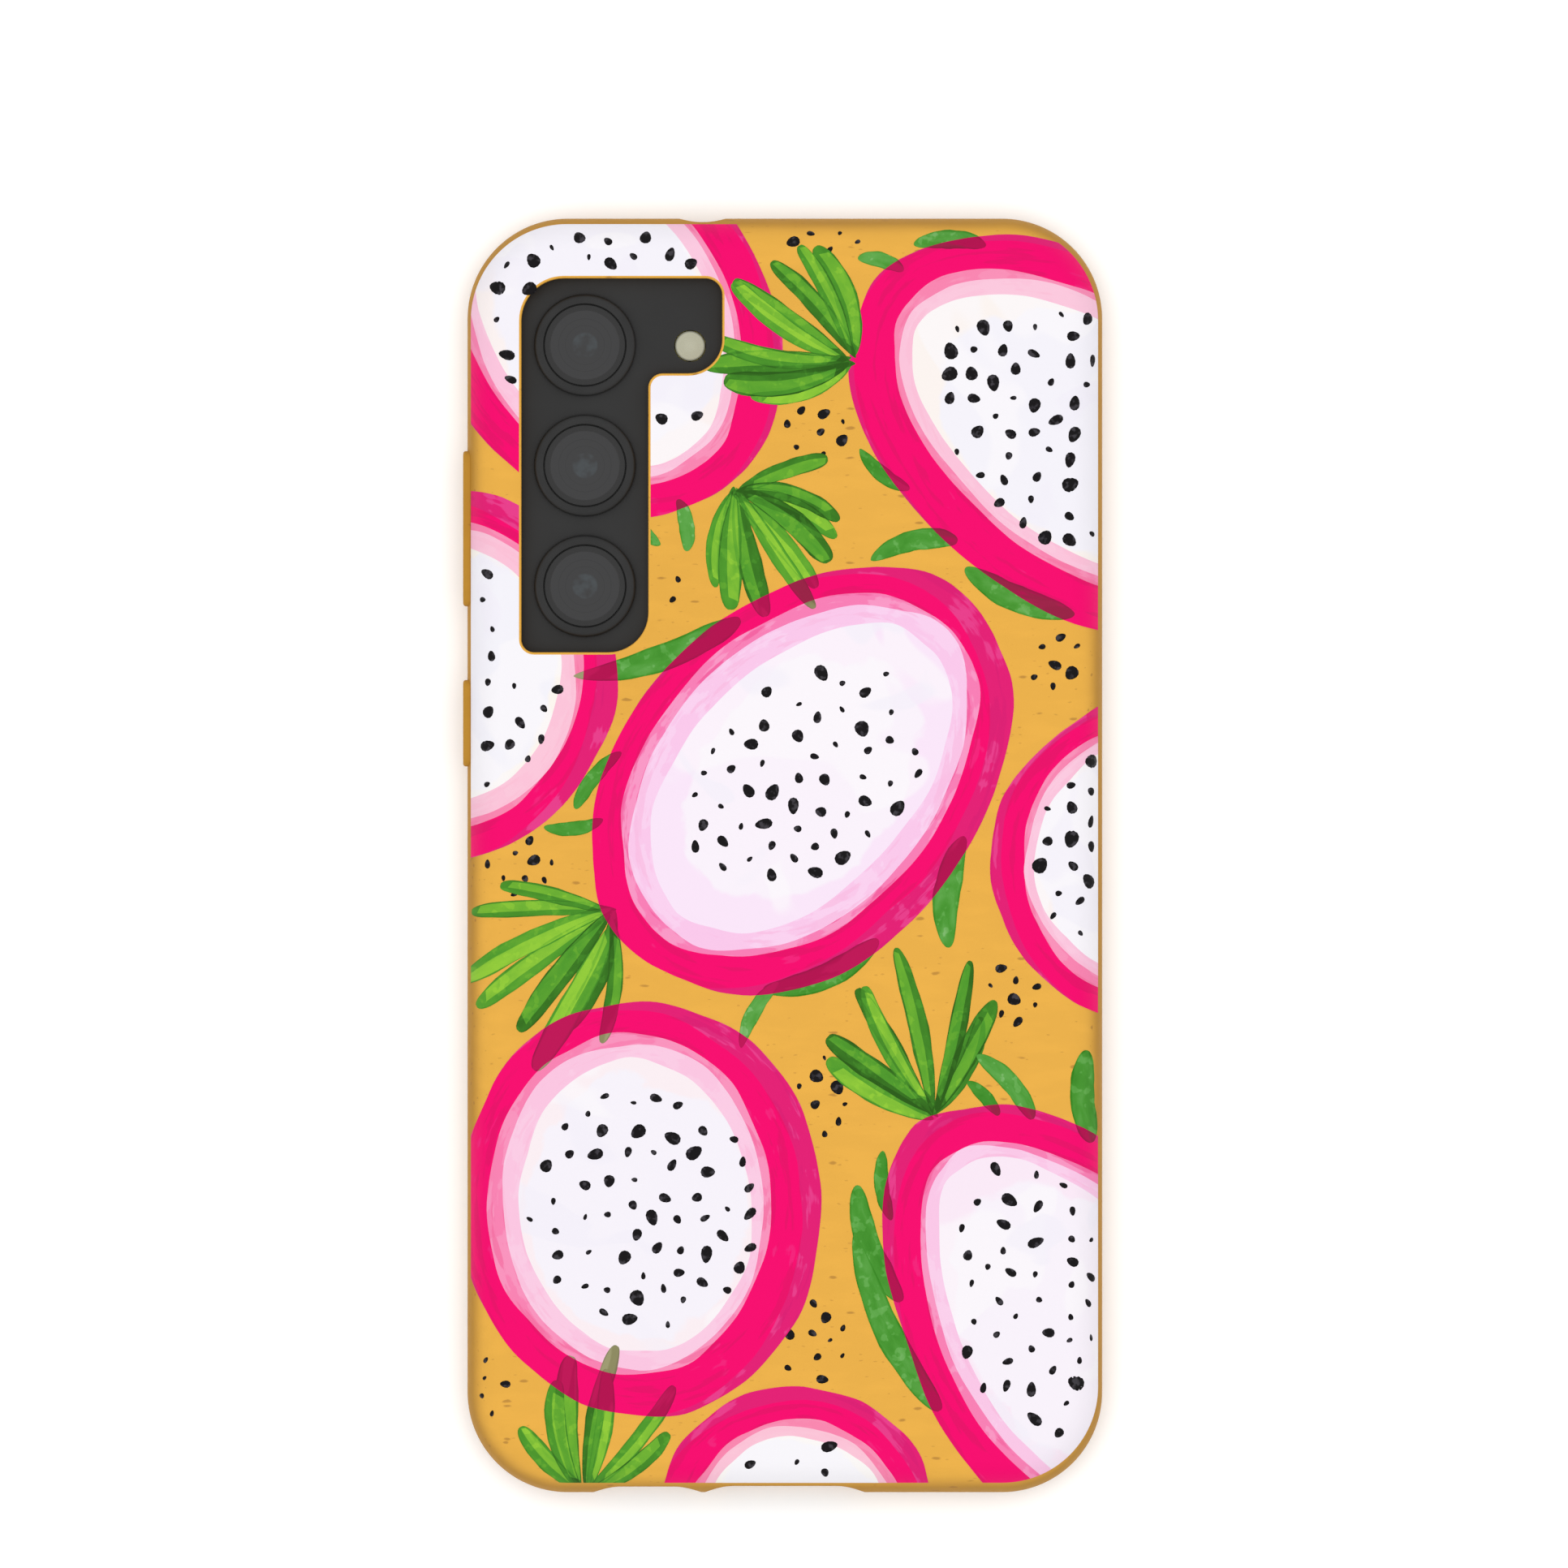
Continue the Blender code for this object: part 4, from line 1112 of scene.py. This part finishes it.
def make_seed_tree():
    tree, start, end = geometry_tree(
        "Scattered seeds",
        {
            "Seed Length": (NUMBER, 0.0015),
            "Spacing": (NUMBER, 0.0022),
            "Lift": (NUMBER, 0.00001),
            "Draw": ("NodeSocketInt", 1),
            "Material": ("NodeSocketMaterial", None),
        },
    )
    room = add(tree, "GeometryNodeInputNamedAttribute", {"Name": "marks"}, data_type="FLOAT_VECTOR")
    depth = part_of(tree, room.outputs[0], 2)
    normal = add(tree, "GeometryNodeInputNormal").outputs[0]
    faces_up = math(tree, "GREATER_THAN", part_of(tree, normal, 2), 0.3)
    allowed = math(tree, "GREATER_THAN", depth, 0.0)
    inputs = {"Geometry": start.outputs["Geometry"], "Selection": faces_up}
    upper = add(tree, "GeometryNodeSeparateGeometry", inputs, domain="FACE").outputs["Selection"]
    inputs = {"Mesh": upper, "Distance Min": start.outputs["Spacing"], "Density Max": 3000000.0}
    scatter = add(tree, "GeometryNodeDistributePointsOnFaces", inputs, distribute_method="POISSON")
    tree.links.new(allowed, scatter.inputs["Density Factor"])
    tree.links.new(start.outputs["Draw"], scatter.inputs["Seed"])
    lift = vector_math(tree, "SCALE", scatter.outputs["Normal"])
    tree.links.new(start.outputs["Lift"], lift.node.inputs["Scale"])
    inputs = {"Geometry": scatter.outputs["Points"], "Offset": lift}
    raised = add(tree, "GeometryNodeSetPosition", inputs).outputs[0]
    turn = add(tree, "ShaderNodeCombineXYZ", {2: chance_between(tree, 5, 0.0, 2 * pi)}).outputs[0]
    chance = math(tree, "POWER", chance_between(tree, 9, 0.0, 1.0), 1.5)
    large = plus(tree, 0.36, times(tree, chance, 0.68))
    broad = times(tree, large, chance_between(tree, 21, 0.72, 1.16))
    size = add(tree, "ShaderNodeCombineXYZ", {0: large, 1: broad, 2: large}).outputs[0]
    inputs = {"Rotation": scatter.outputs["Rotation"]}
    stance = add(tree, "FunctionNodeRotateRotation", inputs, rotation_space="LOCAL")
    tree.links.new(turn, stance.inputs["Rotate By"])
    inputs = {"Points": raised, "Instance": seed_shape(tree, start.outputs["Seed Length"])}
    inputs |= {"Rotation": stance.outputs[0], "Scale": size}
    seeds = add(tree, "GeometryNodeInstanceOnPoints", inputs).outputs[0]
    end_tree(tree, seeds, start.outputs["Material"], end)
    return tree


def drape(seeds, base):
    """Lays every seed on the case's rounded back, as thin as ink, on what lies base above it."""
    count = len(seeds.data.vertices)
    points, height = np.empty(count * 3, np.float32), np.empty(count, np.float32)
    seeds.data.vertices.foreach_get("co", points)
    kept = seeds.data.attributes["height"]
    kept.data.foreach_get("value", height)
    laid = on_back(points.reshape(-1, 3)[:, :2] / MM, base + SEED_THICKNESS * height[:, None])
    seeds.data.vertices.foreach_set("co", (laid * MM).astype(np.float32).ravel())
    seeds.data.attributes.remove(kept)
    seeds.data.update()
    return seeds


def make_row_tree():
    """A straight row of equal blocks, for contact pads and for the wires of a dust mesh."""
    tree, start, end = geometry_tree(
        "Row of blocks",
        {
            "Count": ("NodeSocketInt", 10),
            "First": (VECTOR, (0, 0, 0)),
            "Step": (VECTOR, (0.001, 0, 0)),
            "Block": (VECTOR, (0.001, 0.001, 0.001)),
            "Material": ("NodeSocketMaterial", None),
        },
    )
    inputs = {"Count": start.outputs["Count"], "Start Location": start.outputs["First"]}
    line = add(tree, "GeometryNodeMeshLine", inputs | {"Offset": start.outputs["Step"]})
    block = add(tree, "GeometryNodeMeshCube", {"Size": start.outputs["Block"]}).outputs[0]
    row = add(tree, "GeometryNodeInstanceOnPoints", {"Points": line.outputs[0], "Instance": block}).outputs[0]
    end_tree(tree, row, start.outputs["Material"], end)
    return tree


def blank(name):
    return new_object(name, bpy.data.meshes.new(name))


def block_rows(name, tree, rows, material):
    """Joins several rows of blocks into one piece. Each row is (count, first, step, block) in mm."""
    made = []
    for number, (count, first, step, block) in enumerate(rows):
        values = {"Count": count, "Material": material}
        for label, vector in (("First", first), ("Step", step), ("Block", block)):
            values[label] = [v * MM for v in vector]
        made.append(grow(f"{name}_{number + 1}", blank(name), tree, values))
    joined = bmesh.new()
    for row in made:
        joined.from_mesh(row.data)
    mesh = bpy.data.meshes.new(name)
    joined.to_mesh(mesh)
    joined.free()
    mesh.materials.append(material)
    for row in made:
        bpy.data.objects.remove(row)
    piece = new_object(name, mesh)
    fit(piece)


# ---------------------------------------------------------------- the print, made


def make_print():
    slices = make_slices()
    strokes = make_strokes(slices)
    flat, faces, covers = lay_out_print(slices, strokes)
    inks = choose_inks(strokes, covers)
    materials = {
        "rind": make_rind_ink(),
        "pink_ring": make_ring_ink("Pink ring ink", "FB80B8", "FDA8D2", "F4559A", "FC8CAE"),
        "pale_ring": make_ring_ink("Pale ring ink", "FDCBEE", "FEDAF6", "FCBEE4", "FFC3D0"),
        "flesh": make_flesh_ink(),
        "leaves": make_leaf_ink(),
        "overlaps": make_overlap_ink(),
    }
    seed_ink = make_seed_ink()
    seed_tree = make_seed_tree()
    for ink, material in materials.items():
        piece = film(f"{ink}_ink", flat, faces, inks[ink], slices, strokes, material)
        fit(piece)
    for name, ink, length, spacing, draw, base in (
        ("flesh_seeds", "flesh", 2.15, 2.6, 5, PRINT_THICKNESS),
        ("loose_seeds", "seed_bed", 1.8, 2.1, 11, SEED_THICKNESS / 2),
    ):
        host = film(name, flat, faces, inks[ink], slices, strokes, seed_ink, seed_margin=0.35 * length)
        values = {"Seed Length": length * MM, "Spacing": spacing * MM, "Lift": 0.01 * MM}
        values |= {"Draw": draw, "Material": seed_ink}
        seeds = drape(grow(name, host, seed_tree, values), base)
        fit(seeds)


# ---------------------------------------------------------------- the phone


def make_lens_glass(name, centre):
    """Dark coated glass: black rim, a paler inner disc with fine rings and a cool glint in the middle."""
    made, tree, shader = new_material(f"Lens glass {name}")
    radius = from_axis(tree, centre)
    cloud = noise(tree, placed(tree), 0.8, detail=2.0)
    colour = blend(tree, fade(tree, radius, 4.2, 4.0), srgb("272727"), srgb("353536"))
    for edge, width in ((3.1, 0.05), (2.3, 0.04)):
        line = fade(tree, math(tree, "ABSOLUTE", minus(tree, radius, edge)), width, 0)
        colour = blend(tree, times(tree, line, 0.35), colour, srgb("151516"))
    glint = times(tree, fade(tree, radius, 1.6, 1.3), fade(tree, cloud, 0.3, 0.7))
    colour = blend(tree, times(tree, glint, 0.7), colour, srgb("454C50"))
    shader.inputs["Coat Weight"].default_value = 0.25
    shader.inputs["Coat Roughness"].default_value = 0.03
    finish(tree, shader, colour, 0.5, 0.12, 0.0005, specular=0.35)
    return made


def make_cameras():
    ring_metal = varied("Camera ring", "212121", "272727", 0.12, 0.42, patch=6.0, specular=0.4)
    seat = REAR_GLASS_TOP + 0.1
    for name, y in CAMERAS.items():
        centre = (CAMERA_X, y)
        profile = [(4.0, seat - 1.0), (4.6, seat - 1.0), (4.6, seat), (6.0, seat), (6.0, seat + 0.45)]
        rounding = np.linspace(0.2, pi / 2, 7)
        profile += [(6.0 - 0.5 * (1 - cos(a)), seat + 0.45 + 0.5 * sin(a)) for a in rounding]
        inner_edge = ((5.0, 0.95), (4.92, 0.92), (4.88, 0.85), (4.86, 0.25), (4.0, 0.25))
        profile += [(radius, seat + up) for radius, up in inner_edge]
        ring = turned(f"{name}_ring", profile, centre, ring_metal)
        fit(ring, f"{name}_camera_ring")
        low, high = seat + 0.35, seat + 0.7
        profile = [(0, low), (4.7, low), (4.75, low + 0.05)]
        rim = ((4.75, 0.08), (4.72, 0.02), (4.66, 0), (4.14, 0), (4.1, 0.02), (4.08, 0.05), (4.0, 0.05))
        profile += [(radius, high - down) for radius, down in rim]
        profile += [(r, high - 0.05 - 0.04 * (1 - (r / 4) ** 2)) for r in (3.4, 2.6, 1.8, 1.0, 0.4)]
        profile += [(0, high - 0.09)]
        glass = turned(f"{name}_glass", profile, centre, make_lens_glass(name, centre))
        fit(glass, f"{name}_camera_glass")


def make_flash():
    made, tree, shader = new_material("Flash diffuser")
    radius = from_axis(tree, FLASH)
    ridges = math(tree, "SINE", times(tree, radius, 2 * pi / 0.22))
    colour = blend(tree, fade(tree, radius, 1.74, 1.5), srgb("77776A"), srgb("B7B69F"))
    colour = blend(tree, times(tree, fade(tree, radius, 1.1, 0.2), 0.4), colour, srgb("C4C3AD"))
    bump = finish(tree, shader, colour, 0.2, 0.3, 0.004)
    ridge = add(tree, "ShaderNodeBump", {"Height": ridges, "Distance": 0.004 * MM, "Strength": 1.0})
    tree.links.new(ridge.outputs["Normal"], bump.inputs["Normal"])
    top = REAR_GLASS_TOP
    profile = [(0, top - 0.7), (1.7, top - 0.7), (1.77, top - 0.63), (1.77, top - 0.08), (1.74, top - 0.03)]
    profile += [(1.68, top - 0.01), (1.4, top), (0.8, top), (0.3, top), (0, top)]
    lens = turned("flash", profile, FLASH, made, steps=64)
    fit(lens, "flash_lens")


def make_rear_glass():
    matte = varied("Etched rear glass", "272727", "2B2B2B", 0.1, 0.55, patch=12.0, depth=0.002, specular=0.4)
    inset = 1.1
    top = REAR_GLASS_TOP
    low = top - 0.7
    section = [(0.15, low), (0, low + 0.15), (0, top - 0.2), (0.06, top - 0.06), (0.2, top)]
    rings = []
    for chamfer, z in section:
        reach = inset + chamfer
        outline = rounded_rectangle(PHONE_HALF[0] - reach, PHONE_HALF[1] - reach, PHONE_CORNER - reach)
        rings.append(at_height(outline, z))
    glass = stack("rear_panel", rings, matte)
    drills = []
    holes = [((CAMERA_X, y), CAMERA_HOLE) for y in CAMERAS.values()] + [(FLASH, FLASH_HOLE)]
    for index, (centre, radius) in enumerate(holes):
        angles = np.linspace(0, 2 * pi, 65)[:-1]
        ring = [(centre[0] + radius * cos(a), centre[1] + radius * sin(a)) for a in angles]
        drills.append(stack(f"drill_{index}", [at_height(ring, z) for z in (top - 2, top + 1)], matte))
    combine(glass, "DIFFERENCE", *drills)
    fit(glass, "rear_glass")


def make_front_glass_material():
    """Polished black glass: a deeper black round the unlit display, and the lens in its punched hole."""
    made, tree, shader = new_material("Front glass")
    where = placed(tree, scale=(1, 1, 0))
    lens = vector_math(tree, "DISTANCE", where, (0.0, 67.6, 0.0))
    across = math(tree, "ABSOLUTE", part_of(tree, where, 0))
    along = math(tree, "ABSOLUTE", part_of(tree, where, 1))
    inside = times(tree, fade(tree, across, 32.9, 32.7), fade(tree, along, 70.6, 70.4))
    colour = blend(tree, inside, srgb("050506"), srgb("131316"))
    colour = blend(tree, fade(tree, lens, 1.75, 1.7), colour, srgb("020203"))
    colour = blend(tree, fade(tree, lens, 0.85, 0.6), colour, srgb("1A2430"))
    finish(tree, shader, colour, 0.6, 0.06, 0.0003, smudges=0.06)
    return made


def smooth_copy(node, name, body, material, sharp=28):
    """A copy of a CAD node with its triangles merged and its round faces shaded smooth."""
    mesh = frame["nodes"][node].data.copy()
    merged = bmesh.new()
    merged.from_mesh(mesh)
    bmesh.ops.remove_doubles(merged, verts=merged.verts, dist=1e-6)
    merged.to_mesh(mesh)
    merged.free()
    mesh.materials.clear()
    mesh.materials.append(material)
    mesh.shade_smooth()
    mesh.set_sharp_from_angle(angle=radians(sharp))
    piece = new_object(name, mesh)
    fit(piece, node, body)


def make_inner_finishes():
    """One finish for each material slot of the parts that keep their CAD shape."""
    return {
        "dark_aluminium": varied("Anodised frame", "3A3A3D", "444447", 0.08, 0.38, 1.0, depth=0.003),
        "socket_steel": varied("Socket plating", "A9A9A6", "C4C4C0", 0.1, 0.3, 1.0),
        "shield_can": varied("Tinned steel", "B4B4B0", "CFCFCA", 0.15, 0.32, 1.0),
        "screw_steel": varied("Screw steel", "A0A0A0", "C0C0C0", 0.05, 0.3, 1.0),
        "coil_copper": varied("Coil copper", "B0602F", "D98A50", 0.3, 0.35, 1.0),
        "circuit_board": varied("Solder mask", "0E3A22", "17522F", 0.2, 0.45, patch=0.8),
        "black_plastic": varied("Black moulding", "151515", "1E1E1E", 0.2, 0.6),
        "lens_barrel": varied("Lens barrel", "101011", "1B1B1D", 0.2, 0.5),
        "battery_pouch": varied("Pouch wrap", "2A2A2C", "35353A", 0.4, 0.4, patch=9.0),
        "flex_strip": varied("Amber film", "7A4A1C", "93602A", 0.1, 0.45),
        "display": varied("Display stack", "0A0A0C", "111114", 0.5, 0.3, patch=20.0),
        "coil_shield": varied("Magnetic sheet", "2A2A2A", "363636", 0.3, 0.5),
        "sensor_black": varied("Sensor package", "161618", "222226", 0.1, 0.4),
        "flash_phosphor": varied("Flash phosphor", "C9B63C", "E0CF58", 0.1, 0.5, patch=0.6),
    }


def dress_phone():
    finishes = make_inner_finishes()
    front = make_front_glass_material()
    slots = {part["node"]: part["material_slot"] for part in frame["record"]["subparts"]}
    make_rear_glass()
    make_cameras()
    make_flash()
    smoothed = [
        ("chassis", "metal_frame", PHONE_BODY, "dark_aluminium"),
        ("front_glass", "screen_glass", PHONE_BODY, "front_glass"),
        ("usb_socket", "charging_socket", PHONE_BODY, "socket_steel"),
    ]
    smoothed += [(f"{key}_key", f"{key}_button", f"{key}_key", "dark_aluminium") for key in KEYS]
    for node, name, body, slot in smoothed:
        smooth_copy(node, name, body, finishes.get(slot, front))
    for node, made in frame["nodes"].items():
        finish = finishes.get(slots[node])
        if finish and not made.hide_render:
            if not made.material_slots:
                made.data.materials.append(finish)
            made.material_slots[0].link = "OBJECT"
            made.material_slots[0].material = finish
    row_tree = make_row_tree()
    gold = varied("Contact gold", "B98A3C", "D2A657", 0.05, 0.3, 1.0)
    level = PORT_LEVEL
    rows = [(12, (-2.75, -70.0, level + way * 0.36), (0.5, 0, 0), (0.26, 2.6, 0.04)) for way in (1, -1)]
    block_rows("contact_pads", row_tree, rows, gold)
    wire = varied("Dust mesh wire", "2A2A2A", "3A3A3A", 0.05, 0.5, 1.0)
    rows = [
        (62, (-22.3, -71.0, level), (0.2, 0, 0), (0.07, 0.07, 1.6)),
        (8, (-16.2, -70.93, level - 0.7), (0, 0, 0.2), (12.4, 0.07, 0.07)),
    ]
    block_rows("speaker_dust_mesh", row_tree, rows, wire)


# ---------------------------------------------------------------- floor, light and camera


def make_stage():
    made, tree, shader = new_material("Studio floor")
    tone = noise(tree, placed(tree), 0.004, detail=1.0)
    colour = blend(tree, tone, (0.93, 0.93, 0.93, 1), (0.95, 0.95, 0.95, 1))
    tree.links.new(colour, shader.inputs["Base Color"])
    shader.inputs["Roughness"].default_value = 0.9
    shader.inputs["Specular IOR Level"].default_value = 0.0
    shader.inputs["Emission Color"].default_value = (1, 1, 1, 1)
    shader.inputs["Emission Strength"].default_value = 0.1
    below = add(tree, "ShaderNodeNewGeometry").outputs["Backfacing"]
    clear = add(tree, "ShaderNodeBsdfTransparent").outputs[0]
    mixed = add(tree, "ShaderNodeMixShader", {0: below, 1: shader.outputs[0], 2: clear}).outputs[0]
    tree.links.new(mixed, tree.nodes["Material Output"].inputs["Surface"])
    size = 3000
    corners = [(-size, -size, 0), (size, -size, 0), (size, size, 0), (-size, size, 0)]
    floor = new_piece("floor", corners, [[0, 1, 2, 3]], made)

    world = bpy.data.worlds.new("Studio")
    world.use_nodes = True
    world.node_tree.nodes["Background"].inputs[0].default_value = (1, 1, 1, 1)
    world.node_tree.nodes["Background"].inputs[1].default_value = 0.7
    bpy.context.scene.world = world

    def soft_light(name, place, size, power, glossy=True):
        lamp = bpy.data.lights.new(name, "AREA")
        lamp.shape = "SQUARE"
        lamp.size = size
        lamp.energy = power
        made = new_object(name, lamp)
        made.location = place
        made.rotation_euler = (-Vector(place)).to_track_quat("-Z", "Y").to_euler()
        made.visible_camera = False
        made.visible_glossy = glossy

    soft_light("overhead", (0.0, 0.05, 1.3), 1.1, 9.8, glossy=False)
    soft_light("left_fill", (-1.2, -0.3, 1.1), 0.8, 1.2)
    soft_light("right_fill", (1.2, 0.4, 0.9), 0.8, 0.8)

    lens = 500
    view_width = 0.18506
    camera = bpy.data.cameras.new("Camera")
    camera.lens = lens
    camera.sensor_width = 36
    camera.clip_end = 20
    camera.clip_start = 0.05
    seen = new_object("Camera", camera)
    seen.location = (-0.0001, 0.00843, HALF_HEIGHT * MM + view_width * lens / 36)
    bpy.context.scene.camera = seen
    bpy.context.scene.view_settings.view_transform = "Standard"


make_case(make_bioplastic())
make_print()
dress_phone()
make_stage()
